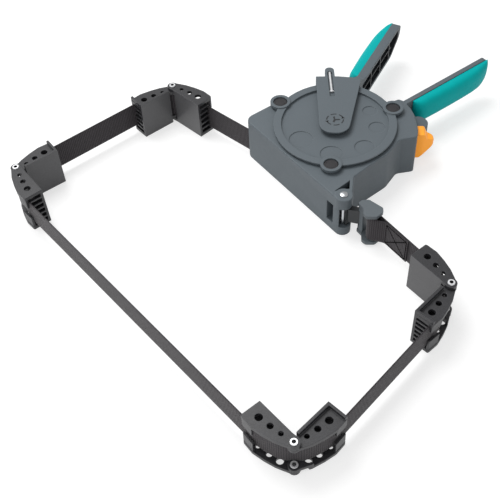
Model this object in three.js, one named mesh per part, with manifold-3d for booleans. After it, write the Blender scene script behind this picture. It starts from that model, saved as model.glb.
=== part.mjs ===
// Ratchet band clamp: a plier-shaped ratchet head reels in a webbing strap that runs
// round four hinged corner jaws and ends at a hook on the head's nose.
// Millimetres, +Z up. The origin is the foot of the reel's axis on the table plane,
// +X runs along the head's straight front towards the nose, +Y towards the handles.
import * as THREE from "three";
import { mergeVertices } from "three/addons/utils/BufferGeometryUtils.js";
import Module from "manifold-3d";

const wasm = await Module();
wasm.setup();

// Fits and clearances
const fit = 0.3; // between pieces that rest on each other
const running = 1.1; // under the turning reel
const slack = 0.6; // beside the webbing on its reel and in its slots
const overrun = 1; // how far a cutting shape passes through what it cuts
const weld = 1e-4; // vertices closer than this are one

// Sides of round shapes
const facets = { tiny: 8, small: 12, medium: 16, large: 24, reel: 48 };
const hexagon = 6;
const steps = { fine: 12, plain: 18, coarse: 45, blunt: 60 }; // degrees between points of a rounding

// Webbing
const strapWidth = 25;
const strapThickness = 1.2;

// Reel and ratchet
const reelRadius = 42;
const reelHubRadius = 14;
const coilMargin = 4; // reel's rim beyond the wound webbing
const lowerFlange = 2.3;
const upperFlange = 1.5;
const axleRadius = 4;
const axleFootDepth = 1.4;
const reelBossRadius = 11;
const ratchetTipRadius = 30;
const ratchetRootRadius = 27.5;
const ratchetThickness = 2.5;
const toothCount = 40;
const carrierThickness = 1.5;
const hubSquare = 11;
const springHeight = 1.5;
const springLift = 0.4;
const springInnerRadius = 10;
const springPitch = 3;
const springStrip = 1;
const springTurns = 2;

// Housing
const baseThickness = 2.5;
const topPlate = 2.5;
const sideWall = 3;
const chamberGap = 9.5; // from the reel's rim to the round wall
const backWall = 3.5;
const noseRadius = 7;
const noseAngle = 44.3; // between the front face and the nose's far side
const noseShares = [1.2636, -0.8909]; // anchor pin's place, of the body radius
const noseBossRise = 0.5;
const topBevel = 0.7;
const lowerEar = 9;
const upperEar = 10;
const columnRadius = 4.2;
const postRadius = 3;
const postSetback = 7; // from the left wall to the guide post, along the strap

// Reel cover
const coverLip = 1.1;
const coverFloor = 1.9;
const ringRise = 2.2;
const ringWidth = 6.9;
const bossRadius = 9.1;
const bossRise = 1;
const brim = 1.3; // height of the cover's and the lever's edge above its undercut
const undercut = 1.2;
const recessDepth = 0.6;
const leverHubRadius = 8;

// Screws
const capRadius = 6.1;
const capHeight = 1.9;
const capSink = 0.9; // cap's top below its boss's rim
const screwRadius = 2;
const coverScrewLength = 14;
const baseScrewLength = 12;
const baseHeadRadius = 3.2;
const baseHeadHeight = 1.6;

// Lever
const leverPlate = 3;
const leverGap = 0.5;
const leverHeading = 136.8;
const leverOverhang = 4; // past the housing's round wall
const leverHalfWidth = 14;
const leverTaper = 6.5;
const leverTail = 17;
const leverTailShare = 0.97; // rounding of the tail, of its half width
const skirtDepth = 7;
const skirtGap = 1;
const pegHeading = 144.2;
const pegRadius = 1.15;
const pegPivotReach = 40;
const pegReach = 66.5;
const pegSlotWidth = 4.4;
const pegSlotDepth = 2.4;
const pegSlotStart = 31.6;
const tongueWidth = 8.5;
const tongueReach = 73;
const pegPinRadius = 0.45;
const pegEyeHalf = 0.9;

// Handles
const handleReach = 164;
const fixedReach = 170.5;
const handleHeading = 116.7;
const handleHeight = 24;
const fixedHeight = 26;
const movingSpine = 8;
const fixedSpine = 4.5;
const fixedInset = 13.5; // fixed handle's inner edge from the reel's axis
const handleFlange = 3;
const handleWeb = 1.8;
const handleRibs = 3;
const ribThickness = 1.4;
const movingTip = 23; // length of the tip's upward sweep
const fixedTip = 14;
const tongueDepth = 4;
const tongueInset = 5;
const tongueCorner = 2;
const gripDepth = 11.5;
const fixedGripDepth = 9.5;
const movingGripGap = 15.5; // grips' start beyond the round wall
const fixedGripGap = 19;
const rampLength = 14;
const gripPlanShares = [ // along, across, rounding
  [0.03, 0.8, 1], [0.3, 1, 2], [0.75, 1, 2], [0.93, 0.65, 1],
];
const gripSectionShares = [[0.6, 0, 1], [1.03, 0.48, 1], [0.6, 1, 1]]; // across, up, rounding

// Pawls and trigger
const pawlBoss = 3.4;
const pinRadius = 1.6;
const drivePawlTip = 180;
const drivePawlSpan = 22;
const drivePivotRadius = 36;
const holdingPawlTip = 27;
const holdingPawlSpan = 20;
const tailArm = 12;
const tailRadius = 2.4;
const pawlWaistShare = 0.9; // the arm's half width at the pivot, of the pivot boss
const pawlNoseShare = 0.6; // the nose's thickness, of a tooth's depth
const carrierShares = [1.4, 1.5]; // root of the arm and the disc, of the lever's hub
const driveLeafShares = [-0.27, 0, 0.5, 0.75]; // from the pivot to the tip, of the pawl's span
const holdingLeafTurns = [-5, 7]; // either side of its post, in degrees
const holdingLeafShare = 0.45; // where it bears on the pawl, from the pivot
const triggerHeading = 50.7;
const triggerStroke = 3;
const triggerStem = 6;
const triggerWallShare = 1.3036; // outer wall's distance from the axis along the trigger's line
const triggerRight = 7.3;
const triggerLeft = 5;
const triggerBottom = 10;
const triggerLength = 15.6;
const triggerCorner = 3;
const triggerPlanShares = [ // along the tab, across to either side of its middle, rounding
  [0.35, -1, 1],
  [1, -0.35, 1.3],
  [1, 0.59, 1.3],
  [0.5, 1, 1.3],
];
const triggerSideShares = [ // along the tab, up, rounding
  [0.2, 0, 0.7],
  [0.78, 0.33, 1.7],
  [1, 0.48, 1],
  [1, 0.68, 1],
  [0.6, 0.76, 1],
  [0.42, 1, 0.7],
];
const leafThickness = 0.6;

// Hook
const hookPlate = 3;
const hookBarRadius = 3.8;
const hookBarPlace = [25.5, 10]; // from the anchor pin
const anchorPinRadius = 2.4;
const anchorHeadRadius = 3.5;
const anchorHeadHeight = 1.2;
const clawRadius = 5.3;
const clawGap = 0.4;
const hookArmHeight = 15;
const hookPlateGap = 1.5;
const mouthSides = [-100, -70, -40, -12]; // headings of the claw's open side
const swingSides = [-70, -40, -12, 15, 45, 80]; // headings of the nose's open side
const hookPlateShares = [ // from the bar, all as shares of its radius
  [-4, -0.9, 0.3],
  [-2.2, -1, 0.6],
  [-0.9, -2.1, 0.5],
  [0.3, -2.1, 0.9],
  [1.6, -0.5, 0.9],
  [1.4, 1.5, 0.7],
  [0.4, 2.3, 0.7],
  [-3.2, 1.6, 0.5],
  [-4.1, 0.3, 0.4],
];
const hookWallShares = [[-3.9, -0.8, 0.2], [-2.2, -0.9, 0.2], [-2.6, 1.2, 0.2], [-3.5, 1.2, 0.2]];
const hookArmShares = [-0.6, 0.7, 3.2]; // either side and reach of the arm, of the bar's radius
const hookWrap = 205; // degrees that the webbing wraps round the bar
const seamShare = 2.6; // where the doubled webbing comes together, of its radius round the bar
const tailShare = 0.72; // how far the doubled webbing reaches, of the way to the last jaw

// Frame of jaws
const frameLength = 350;
const frameWidth = 170;
const jawLength = 38.5;
const jawPlate = 2.2;
const jawInset = 4; // clamping face's distance from the rivet's axis
const jawFlange = 3;
const jawEarRadius = 4.6;
const jawNeck = 3; // inner half's ear stays clear of the other half's plate when they close
const outerPlateStart = 6;
const innerPlateStart = 6.7;
const shelfCount = 5;
const shelfThickness = 1.6;
const lipThickness = 1.8;
const rimThickness = 2; // end wall of an inner half, which stands as high as its clamping plate
const upperLip = 12.5; // down from the jaw's top
const lowerLip = 14; // up from the jaw's foot
const rivetRadius = 2.2;
const rivetBore = 1.5;
const rivetHeadRadius = 3;
const rivetHeadHeight = 0.8;

// Levels above the table
const reelZ = baseThickness + running;
const strapZ = reelZ + lowerFlange + slack;
const strapTopZ = strapZ + strapWidth;
const upperFlangeZ = strapTopZ + slack;
const reelTopZ = upperFlangeZ + upperFlange;
const ratchetZ = reelTopZ + fit;
const ratchetTopZ = ratchetZ + ratchetThickness;
const carrierZ = ratchetTopZ + fit;
const carrierTopZ = carrierZ + carrierThickness;
const ceilingZ = carrierTopZ + fit;
const housingTopZ = ceilingZ + topPlate;
const springZ = carrierTopZ + springLift;
const coverBottomZ = springZ + springHeight + fit;
const coverFloorZ = coverBottomZ + coverFloor;
const ringTopZ = coverFloorZ + ringRise;
const leverZ = ringTopZ + leverGap;
const leverTopZ = leverZ + leverPlate;
const axleTopZ = leverZ + leverPlate / 6;
const jawHeight = strapWidth + 2 * strapZ;
const handleTop = housingTopZ;
const triggerTop = ratchetTopZ - fit;

// Radii and places that follow from the sizes above
const chamberRadius = reelRadius + chamberGap;
const bodyRadius = chamberRadius + backWall;
const leverReach = bodyRadius + leverOverhang;
const coilRadius = reelRadius - coilMargin;
const holdingPivotRadius = reelRadius;
const triggerWall = triggerWallShare * bodyRadius;
const coverRadius = bodyRadius - coverLip;
const openingRadius = coverRadius - ringWidth;
const anchor = noseShares.map((share) => share * bodyRadius);
const frontY = anchor[1] - noseRadius;
const rad = Math.PI / 180;

// Outline tables: [x, y, rounding] as shares of the body radius
const bodyOutlineShares = [
  [-1.055, 0, 0.15],
  [1.0636, -0.518, 0.055],
  [1.0273, -0.1636, 0.3],
  [1.0109, 0.2309, 0.25],
  [0.8873, 0.5691, 0.11],
  [1.0182, 0.8273, 0.055],
  [0.9091, 0.9455, 0.05],
  [0.7818, 1.04, 0.1],
  [0.6909, 1.0964, 0.07],
  [0.6127, 1.1527, 0.07],
  [0.4655, 1.2145, 0.05],
  [0.2455, 1.2636, 0.03],
  [0.155, 1.23, 0.05],
  [0.115, 1.06, 0.05],
  [0.073, 0.93, 0.03],
  [-0.6, 0.55, 0.05],
  [-0.9855, 0.17, 0.3],
  [-1.055, -0.27, 0.3],
];
const coverScrewShares = [[-0.9436, -0.3636], [0.6945, -0.6618], [0.3218, 0.9436]];
const baseScrewPlaces = [[135, 0], [20.9, 0], [-63, 0], [-118.8, 4.2]]; // heading, extra distance
const recessShares = [
  [-0.0673, -0.6327, 0.191],
  [0.4836, -0.4782, 0.1745],
  [0.6927, 0.0164, 0.158],
  [0.4709, 0.4691, 0.131],
  [0.1018, 0.6455, 0.118],
];
const lugShares = [0.636, 1.227, 0.16];
const triangleShares = [[-0.18, 0.276], [-0.151, -0.048], [-0.049, 0.152]]; // from the anchor pin
const windowShares = [-0.227, -0.082];
const windowDepthShare = 1.6; // of the nose's radius
const seamPlaceShare = 1.9; // seam groove's distance behind the nose, of the nose's radius

// Frame corners: place as shares of the frame's length and width, then for each of the
// corner's two halves its heading, the side that faces out, and whether its ears lie outside
const corners = [
  { name: "jaw_1", shares: [-0.4034, -0.4618], halves: [[9.5, 1, true], [-87.3, -1, false]] },
  { name: "jaw_2", shares: [-0.3846, -1.4365], halves: [[90.8, 1, false], [1.5, -1, true]] },
  { name: "jaw_3", shares: [0.6229, -1.2835], halves: [[184.3, 1, true], [98.7, -1, false]] },
  { name: "jaw_4", shares: [0.5331, -0.2594], halves: [[-81.2, 1, false], [181.3, -1, true]] },
];
const flangeOutlineShares = [
  [1.013, 0.317, 0.03],
  [0.961, 0.34, 0.03],
  [0.727, 0.355, 0.1],
  [0.468, 0.302, 0.1],
  [0.234, 0.231, 0.05],
];
const seatShares = [[0.15, 0.045], [0.31, 0.135], [0.52, 0.2], [0.77, 0.25], [1, 0.245]];
const bendShares = [0.095, -0.095]; // where the webbing's bend would come to a point
const upperHoleShares = [[0.764, 0.125, 0.078], [0.504, 0.091, 0.065], [0.27, 0.052, 0.052]];
const lowerHoleShares = [[0.745, 0.2, 0.05], [0.49, 0.155, 0.062], [0.26, 0.105, 0.074]];

// Closed three.js geometry to a solid
function solid(geometry) {
  const bare = geometry.index ? geometry.toNonIndexed() : geometry.clone();
  bare.deleteAttribute("normal");
  bare.deleteAttribute("uv");
  const merged = mergeVertices(bare, weld);
  return new wasm.Manifold(
    new wasm.Mesh({
      numProp: 3,
      vertProperties: merged.attributes.position.array,
      triVerts: new Uint32Array(merged.index.array),
    }),
  );
}

// Points of a circle
function circle(x, y, radius, count = facets.large) {
  return Array.from({ length: count }, (_, i) => {
    const turn = (2 * Math.PI * i) / count;
    return new THREE.Vector2(x + radius * Math.cos(turn), y + radius * Math.sin(turn));
  });
}

// Points of a polygon whose corners [x, y, radius] are rounded, with a point every so many degrees
function rounded(cornerList, stepDegrees = steps.plain) {
  const points = [];
  cornerList.forEach(([x, y, radius = 0], i) => {
    const corner = new THREE.Vector2(x, y);
    const before = cornerList[(i + cornerList.length - 1) % cornerList.length];
    const after = cornerList[(i + 1) % cornerList.length];
    const back = new THREE.Vector2(before[0], before[1]).sub(corner);
    const ahead = new THREE.Vector2(after[0], after[1]).sub(corner);
    const room = Math.min(back.length(), ahead.length()) / 2;
    back.normalize();
    ahead.normalize();
    const half = Math.acos(THREE.MathUtils.clamp(back.dot(ahead), -1, 1)) / 2;
    const reach = Math.min(radius / Math.tan(half), room);
    if (reach <= 0 || Math.PI / 2 - half < rad) {
      points.push(corner);
      return;
    }
    const r = reach * Math.tan(half);
    const middle = back.clone().add(ahead).normalize().multiplyScalar(r / Math.sin(half)).add(corner);
    const from = back.multiplyScalar(reach).add(corner).sub(middle).angle();
    const to = ahead.multiplyScalar(reach).add(corner).sub(middle).angle();
    let turn = to - from;
    if (turn > Math.PI) turn -= 2 * Math.PI;
    if (turn < -Math.PI) turn += 2 * Math.PI;
    const count = Math.max(2, Math.ceil(Math.abs(turn) / (stepDegrees * rad)));
    for (let k = 0; k <= count; k++) {
      const angle = from + (turn * k) / count;
      points.push(new THREE.Vector2(middle.x + r * Math.cos(angle), middle.y + r * Math.sin(angle)));
    }
  });
  return points;
}

// Solid between two levels over an outline
function prism(outline, bottom, top, matrix = new THREE.Matrix4()) {
  const depth = top - bottom;
  const geometry = new THREE.ExtrudeGeometry(new THREE.Shape(outline), { depth, bevelEnabled: false });
  geometry.translate(0, 0, bottom);
  return solid(geometry.applyMatrix4(matrix));
}

// Prism with a bevel round its top
function bevelled(outline, bottom, top, bevel) {
  const geometry = new THREE.ExtrudeGeometry(new THREE.Shape(outline), {
    depth: top - bottom - 2 * bevel,
    bevelThickness: bevel,
    bevelSize: bevel,
    bevelOffset: -bevel,
    bevelSegments: 1,
  });
  geometry.translate(0, 0, bottom + bevel);
  return solid(geometry).add(prism(outline, bottom, top - bevel));
}

// Prism whose outline is turned by a heading in degrees
function turned(outline, bottom, top, heading) {
  return prism(outline, bottom, top, new THREE.Matrix4().makeRotationZ(heading * rad));
}

// Solid whose outline stands upright along a heading, from near to far on its left side
function upright(outline, near, far, heading) {
  const along = new THREE.Vector3(Math.cos(heading * rad), Math.sin(heading * rad), 0);
  const up = new THREE.Vector3(0, 0, 1);
  const right = new THREE.Vector3().crossVectors(along, up);
  return prism(outline, -far, -near, new THREE.Matrix4().makeBasis(along, up, right));
}

// Solid whose outline [left, up] is carried along a heading, from start to end
function carried(outline, start, end, heading) {
  const along = new THREE.Vector3(Math.cos(heading * rad), Math.sin(heading * rad), 0);
  const up = new THREE.Vector3(0, 0, 1);
  const left = new THREE.Vector3().crossVectors(up, along);
  return prism(outline, start, end, new THREE.Matrix4().makeBasis(left, up, along));
}

// Solid of revolution about an upright axis, from a closed profile of [radius, z]
function lathe(profile, x = 0, y = 0, count = facets.large) {
  const points = [...profile, profile[0]].map(([r, z]) => new THREE.Vector2(r, z));
  const geometry = new THREE.LatheGeometry(points, count);
  geometry.rotateX(Math.PI / 2);
  geometry.translate(x, y, 0);
  return solid(geometry);
}

function box(x0, y0, x1, y1) {
  return [[x0, y0], [x1, y0], [x1, y1], [x0, y1]].map(([x, y]) => new THREE.Vector2(x, y));
}

function joined(solids) {
  return solids.reduce((sum, next) => sum.add(next));
}

function cut(body, tools) {
  return tools.reduce((left, tool) => left.subtract(tool), body);
}

function polar(radius, degrees) {
  return new THREE.Vector2(radius * Math.cos(degrees * rad), radius * Math.sin(degrees * rad));
}

// Heading of a vector in degrees, from -180 to 180
function headingOf(vector) {
  return Math.atan2(vector.y, vector.x) / rad;
}

function scaled(shares, unit) {
  return shares.map((row) => row.map((share) => share * unit));
}

const model = new THREE.Group();

// Colour, roughness and metalness of each finish
const finishes = {
  housingPlastic: ["#5f686d", 0.62, 0],
  tealRubber: ["#02a7a9", 0.55, 0],
  orangePlastic: ["#f4ad39", 0.5, 0],
  jawPlastic: ["#3a3a3d", 0.55, 0],
  hookPlastic: ["#5a6064", 0.55, 0],
  webbing: ["#3e3c3f", 0.9, 0],
  steel: ["#b9bcc0", 0.35, 1],
  darkSteel: ["#44424a", 0.45, 1],
  innerPlastic: ["#2f3336", 0.5, 0],
};

function piece(name, body, finish, parent = model) {
  const made = body.getMesh();
  const geometry = new THREE.BufferGeometry();
  geometry.setAttribute("position", new THREE.BufferAttribute(made.vertProperties, 3));
  geometry.setIndex(new THREE.BufferAttribute(made.triVerts, 1));
  const flat = geometry.toNonIndexed();
  flat.computeVertexNormals();
  const [color, roughness, metalness] = finishes[finish];
  const mesh = new THREE.Mesh(flat, new THREE.MeshStandardMaterial({ color, roughness, metalness }));
  mesh.name = name;
  parent.add(mesh);
  return mesh;
}

// Strap route. It is a belt: straight runs between arcs round the coil, the guide post and
// the hook's bar, and a bend inside each jaw's corner, all measured to the webbing's middle.
const half = strapThickness / 2;
const jawPlaces = corners.map(({ shares }) => [shares[0] * frameLength, shares[1] * frameWidth]);

function arc(x, y, radius, from, to) {
  const count = Math.max(1, Math.ceil(Math.abs(to - from) / steps.plain));
  return Array.from({ length: count + 1 }, (_, k) => {
    const angle = (from + ((to - from) * k) / count) * rad;
    return new THREE.Vector2(x + radius * Math.cos(angle), y + radius * Math.sin(angle));
  });
}

// Point of a jaw half in the part's frame, from its place along and out of the half
function onHalf(place, [heading, side], along, out) {
  const u = polar(1, heading);
  return new THREE.Vector2(
    place[0] + along * u.x - side * out * u.y,
    place[1] + along * u.y + side * out * u.x,
  );
}

// Webbing's way through one corner, from its first half's free end to its second's
function cornerRoute(index) {
  const [first, second] = corners[index].halves;
  const place = jawPlaces[index];
  const seat = scaled(seatShares, jawLength);
  const inward = [...seat].reverse().map(([s, n]) => onHalf(place, first, s, n));
  const outward = seat.map(([s, n]) => onHalf(place, second, s, n));
  const from = inward[inward.length - 1];
  const to = outward[0];
  const crease = onHalf(place, first, ...bendShares.map((share) => share * jawLength));
  const bend = new THREE.QuadraticBezierCurve(from, crease, to);
  return [...inward, ...bend.getPoints(facets.tiny).slice(1, -1), ...outward];
}

const wallX = bodyOutlineShares[0][0] * bodyRadius;
const freeSeat = seatShares.at(-1).map((share) => share * jawLength);
const headEnd = onHalf(jawPlaces[0], corners[0].halves[0], ...freeSeat);
const entry = new THREE.Vector2(wallX, frontY + sideWall + strapThickness / 6);
const entryHeading = headingOf(entry.clone().sub(headEnd));
const postPathRadius = postRadius + fit + half;
const entryStep = polar(postSetback, entryHeading);
const postOffset = polar(postPathRadius, entryHeading + 90);
const post = entry.clone().add(entryStep).add(postOffset);
const coilPathRadius = coilRadius + fit + half;
const postDistance = post.length();
const crossing = Math.asin((postPathRadius + coilPathRadius) / postDistance) / rad;
const ductHeading = headingOf(post.clone().negate()) + crossing;
const coilTouch = polar(coilPathRadius, ductHeading + 90);
const hookBar = [anchor[0] + hookBarPlace[0], anchor[1] + hookBarPlace[1]];
const barPathRadius = hookBarRadius + fit + half;
const lastSeat = onHalf(jawPlaces[3], corners[3].halves[1], ...freeSeat);
const toBar = new THREE.Vector2(hookBar[0], hookBar[1]).sub(lastSeat);
const barHeading = headingOf(toBar) - Math.asin(barPathRadius / toBar.length()) / rad;
const barTop = barHeading - 90;
const layerGap = strapThickness + fit;

function strapRoute() {
  const route = [coilTouch];
  route.push(...arc(post.x, post.y, postPathRadius, ductHeading - 90, entryHeading - 90));
  corners.forEach((_, index) => route.push(...cornerRoute(index)));
  const around = arc(hookBar[0], hookBar[1], barPathRadius, barTop, barTop + hookWrap);
  route.push(...around);
  const back = polar(1, barHeading + 180);
  const across = polar(layerGap, barHeading + 90);
  const topTouch = around[0].clone().add(across);
  route.push(topTouch.clone().addScaledVector(back, seamShare * barPathRadius));
  route.push(topTouch.clone().addScaledVector(back, tailShare * toBar.length()));
  return route;
}

// Outline of a strip that follows a line of points
function ribbon(points, thickness) {
  const left = [];
  const right = [];
  points.forEach((point, i) => {
    const before = points[Math.max(i - 1, 0)];
    const after = points[Math.min(i + 1, points.length - 1)];
    const first = i === 0 ? after.clone().sub(point) : point.clone().sub(before);
    const second = i === points.length - 1 ? first.clone() : after.clone().sub(point);
    const normal = first.normalize().add(second.normalize()).normalize();
    const stretch = thickness / 2 / Math.max(normal.dot(second), 0.5);
    left.push(new THREE.Vector2(point.x - normal.y * stretch, point.y + normal.x * stretch));
    right.push(new THREE.Vector2(point.x + normal.y * stretch, point.y - normal.x * stretch));
  });
  return [...left, ...right.reverse()];
}

piece("strap", prism(ribbon(strapRoute(), strapThickness), strapZ, strapTopZ), "webbing");

// Housing: one moulded shell with the nose that holds the anchor pin and the fixed handle's core
const coverScrews = scaled(coverScrewShares, bodyRadius);
const baseScrews = baseScrewPlaces.map(([heading, extra]) =>
  polar(reelRadius + columnRadius + overrun + extra, heading).toArray());
const noseCornerX = anchor[0] + noseRadius / Math.tan((noseAngle / 2) * rad);

function bodyOutline() {
  const rows = scaled(bodyOutlineShares, bodyRadius);
  rows[0][1] = frontY;
  rows.splice(1, 0, [noseCornerX, frontY, noseRadius]);
  return rounded(rows);
}

function chamber(clearance, bottom, top) {
  const left = wallX + sideWall + clearance;
  const front = frontY + sideWall + clearance;
  const corner = 2 * slack;
  const inner = -chamberRadius / 3;
  const duct = rounded([[left, front, corner], [inner, front], [inner, inner], [left, inner]]);
  const round = circle(0, 0, chamberRadius - clearance, facets.reel);
  return prism(round, bottom, top).add(prism(duct, bottom, top));
}

// A handle's core: a channel with cross ribs, open towards the other handle, and a tongue
// that holds the grip. Across runs from the inner edge towards the grip.
const movingHandle = {
  heading: handleHeading, side: 1, inner: 0, spine: movingSpine, grip: gripDepth,
  start: bodyRadius + skirtGap + slack + overrun, end: handleReach, height: handleHeight, ramp: true,
  gripStart: bodyRadius + movingGripGap, tip: movingTip,
};
const fixedHandle = {
  heading: 90, side: -1, inner: -fixedInset, spine: fixedSpine, grip: fixedGripDepth,
  start: bodyRadius, end: fixedReach, height: fixedHeight, ramp: false,
  gripStart: bodyRadius + fixedGripGap, tip: fixedTip,
};

function handleSpan(handle, near, far) {
  const edges = [handle.inner + handle.side * near, handle.inner + handle.side * far];
  return edges.sort((a, b) => a - b);
}

// Outline of the tongue that holds the grip, or of its pocket with a clearance
function tongueRows({ end, height, gripStart, tip }, clearance, corner) {
  const bottom = handleTop - height;
  return [
    [gripStart + tongueDepth - clearance, bottom + tongueInset - clearance, corner],
    [end - tip, bottom + tongueInset - clearance, corner],
    [end - tip / 2 + clearance, handleTop - height / 2 - clearance, corner],
    [end - tip / 2 + clearance, handleTop - tongueInset + clearance, corner],
    [gripStart + tongueDepth - clearance, handleTop - tongueInset + clearance, corner],
  ];
}

function handleCore(handle) {
  const { heading, spine, start, end, height, ramp, tip } = handle;
  const bottom = handleTop - height;
  const middleZ = handleTop - height / 2;
  const profile = rounded([
    [start, bottom, 2 * slack],
    [end - tip, bottom, tip / 2],
    [end, middleZ, tip / 2],
    [end + slack, handleTop, height / 6],
    ...(ramp ? [[start + rampLength, handleTop, rampLength], [start + overrun, leverTopZ, slack]] : []),
    [start, ramp ? leverTopZ : handleTop],
  ]);
  const [low, high] = handleSpan(handle, 0, spine);
  const tongue = handleSpan(handle, spine - fit, spine + tongueDepth);
  const recess = handleSpan(handle, -overrun, spine - handleWeb);
  const first = Math.max(start, bodyRadius + rampLength / 2) + handleFlange;
  const last = end - handleFlange * 2;
  const inside = rounded([
    [first, bottom + handleFlange],
    [end - tip, bottom + handleFlange, tip / 2],
    [last, middleZ, height / 6],
    [last, handleTop - handleFlange],
    [first, handleTop - handleFlange],
  ]);
  const pitch = (last - first) / (handleRibs + 1);
  const ribs = Array.from({ length: handleRibs }, (_, i) => {
    const at = first + pitch * (i + 1);
    const rib = box(at - ribThickness / 2, bottom, at + ribThickness / 2, handleTop - slack);
    return upright(rib, low + slack / 2, high - slack / 2, heading).intersect(
      upright(profile, low, high, heading),
    );
  });
  const middle = box(start + overrun, middleZ - slack, end - tip, middleZ + slack);
  const hold = rounded(tongueRows(handle, 0, tongueCorner));
  return joined([
    upright(profile, low, high, heading).subtract(upright(inside, recess[0], recess[1], heading)),
    ...ribs,
    upright(middle, low + slack, high - slack, heading),
    upright(hold, tongue[0], tongue[1], heading),
  ]);
}

// Rubber grip: its crown seen from above, cut to a rounded section
function handleGrip(handle) {
  const { heading, side, inner, spine, grip, end, height, gripStart, tip } = handle;
  const bottom = handleTop - height;
  const low = bottom + slack;
  const top = handleTop - slack;
  const long = end - gripStart;
  const across = (t) => inner + side * (spine + fit + t);
  const plan = rounded(
    [
      [gripStart, across(0)],
      ...gripPlanShares.map(([s, t, r]) => [gripStart + long * s, across(grip * t), grip * r]),
      [end - slack, across(0)],
    ],
    steps.fine,
  );
  const section = rounded([
    [across(-overrun), low],
    ...gripSectionShares.map(([t, up, r]) => [across(grip * t), low + (top - low) * up, grip * r]),
    [across(-overrun), top],
  ]);
  const profile = rounded([
    [gripStart - overrun, bottom],
    [end - tip, bottom, tip / 2],
    [end, handleTop - height / 2, tip / 2],
    [end + overrun, handleTop + overrun],
    [gripStart - overrun, handleTop + overrun],
  ]);
  const pocket = handleSpan(handle, spine - overrun, spine + tongueDepth + fit);
  const reach = handleSpan(handle, 0, spine + grip * 2);
  return turned(plan, bottom, handleTop, heading)
    .intersect(carried(section, gripStart - overrun, end + overrun, heading))
    .intersect(upright(profile, ...reach, heading))
    .subtract(upright(rounded(tongueRows(handle, fit, 0)), ...pocket, heading));
}

// Trigger's line: along runs outwards from the axis, left is counter-clockwise of it
const triggerLine = polar(1, triggerHeading);
const triggerMid = (triggerLeft - triggerRight) / 2;
const pivotHold = polar(holdingPivotRadius, holdingPawlTip + holdingPawlSpan);
const pivotAlong = pivotHold.dot(triggerLine);
const pivotLeft = pivotHold.y * triggerLine.x - pivotHold.x * triggerLine.y;
const footLeft = pivotLeft + tailArm;
const footFace = pivotAlong + tailRadius + fit;
const footEnd = footLeft + tailRadius / 2;
const barAlong = pivotAlong + pawlBoss + triggerStroke + slack;
const ribAlong = triggerWall - 4 * triggerStroke;
const ribBack = ribAlong - sideWall / 2;

function buildHousing() {
  const noseBoss = circle(...anchor, noseRadius + slack);
  const lug = circle(...lugShares.map((share) => share * bodyRadius));
  const shell = joined([
    bevelled(bodyOutline(), 0, housingTopZ, topBevel),
    bevelled(circle(0, 0, bodyRadius, facets.reel), 0, housingTopZ, topBevel),
    bevelled(noseBoss, housingTopZ - upperEar, housingTopZ + noseBossRise, noseBossRise),
    prism(lug, baseThickness * 6, strapTopZ - running),
    handleCore(fixedHandle),
  ]);
  const open = cut(shell, [
    chamber(0, -overrun, ceilingZ),
    prism(circle(0, 0, openingRadius, facets.reel), ceilingZ - overrun, housingTopZ + overrun),
  ]);
  const column = (x, y, radius) =>
    prism(circle(x, y, radius, facets.medium), baseThickness + fit, ceilingZ + slack);
  const columns = joined([
    ...[...coverScrews, ...baseScrews].map(([x, y]) => column(x, y, columnRadius)),
  ]);
  const slotHalf = half + slack;
  const slot = box(-sideWall * 3, -slotHalf, postSetback + postRadius, slotHalf);
  const slotMatrix = new THREE.Matrix4().makeRotationZ(entryHeading * rad).setPosition(entry.x, entry.y, 0);
  const slotEnd = triggerWall + 9 * overrun;
  const triggerSlot = box(chamberRadius - sideWall, -triggerRight - fit, slotEnd, triggerLeft + fit);
  const footPocket = box(barAlong - triggerStroke, 0, barAlong + triggerStroke + slack, footEnd + slack);
  const springRib = box(ribBack, -triggerRight - fit * 2, ribAlong, triggerLeft + fit * 2);
  const gapFloor = lowerEar;
  const gapTop = housingTopZ - upperEar;
  const swingRoom = [new THREE.Vector2(...anchor)];
  swingSides.forEach((side) => swingRoom.push(polar(noseRadius * 3, side).add(swingRoom[0])));
  const pocketLeft = anchor[0] + windowShares[0] * bodyRadius;
  const pocketRight = anchor[0] + windowShares[1] * bodyRadius;
  const triangle = triangleShares.map((row) =>
    new THREE.Vector2(...row).multiplyScalar(bodyRadius).add(swingRoom[0]));
  const window = box(pocketLeft, frontY - overrun, pocketRight, frontY + noseRadius * windowDepthShare);
  const pinBore = circle(...anchor, anchorPinRadius + fit, facets.medium);
  const screwHole = (x, y, bottom, top) => prism(circle(x, y, screwRadius + fit, facets.small), bottom, top);
  const grooveSpot = new THREE.Vector2(anchor[0], anchor[1])
    .add(polar(noseRadius, 90 - noseAngle))
    .add(polar(noseRadius * seamPlaceShare, 180 - noseAngle));
  const groove = circle(grooveSpot.x, grooveSpot.y, slack, facets.tiny);
  const body = open.add(columns.intersect(shell));
  return cut(body, [
    prism(slot, baseThickness + fit, strapTopZ + slack, slotMatrix),
    turned(triggerSlot, triggerBottom - fit, triggerTop + fit, triggerHeading),
    turned(footPocket, ratchetZ - fit, triggerTop + fit, triggerHeading),
    ...coverScrews.map(([x, y]) => screwHole(x, y, coverBottomZ - coverScrewLength, housingTopZ + overrun)),
    ...baseScrews.map(([x, y]) => screwHole(x, y, 0, baseThickness + baseScrewLength)),
    ...baseScrews.map(([x, y]) => prism(circle(x, y, baseHeadRadius + fit), -overrun, baseHeadHeight + fit)),
    prism(circle(...anchor, clawRadius + clawGap), gapFloor, gapTop),
    prism(swingRoom, gapFloor, gapTop),
    prism(pinBore, baseThickness / 2, housingTopZ + overrun),
    prism(window, gapFloor - slack, gapTop - overrun),
    prism(triangle, gapFloor + slack, housingTopZ + overrun).subtract(prism(noseBoss, 0, leverTopZ)),
    prism(groove, baseThickness * 3, housingTopZ - topPlate * 2),
  ]).add(turned(springRib, triggerBottom - slack, ratchetZ - slack, triggerHeading))
    .add(column(post.x, post.y, postRadius));
}

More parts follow.
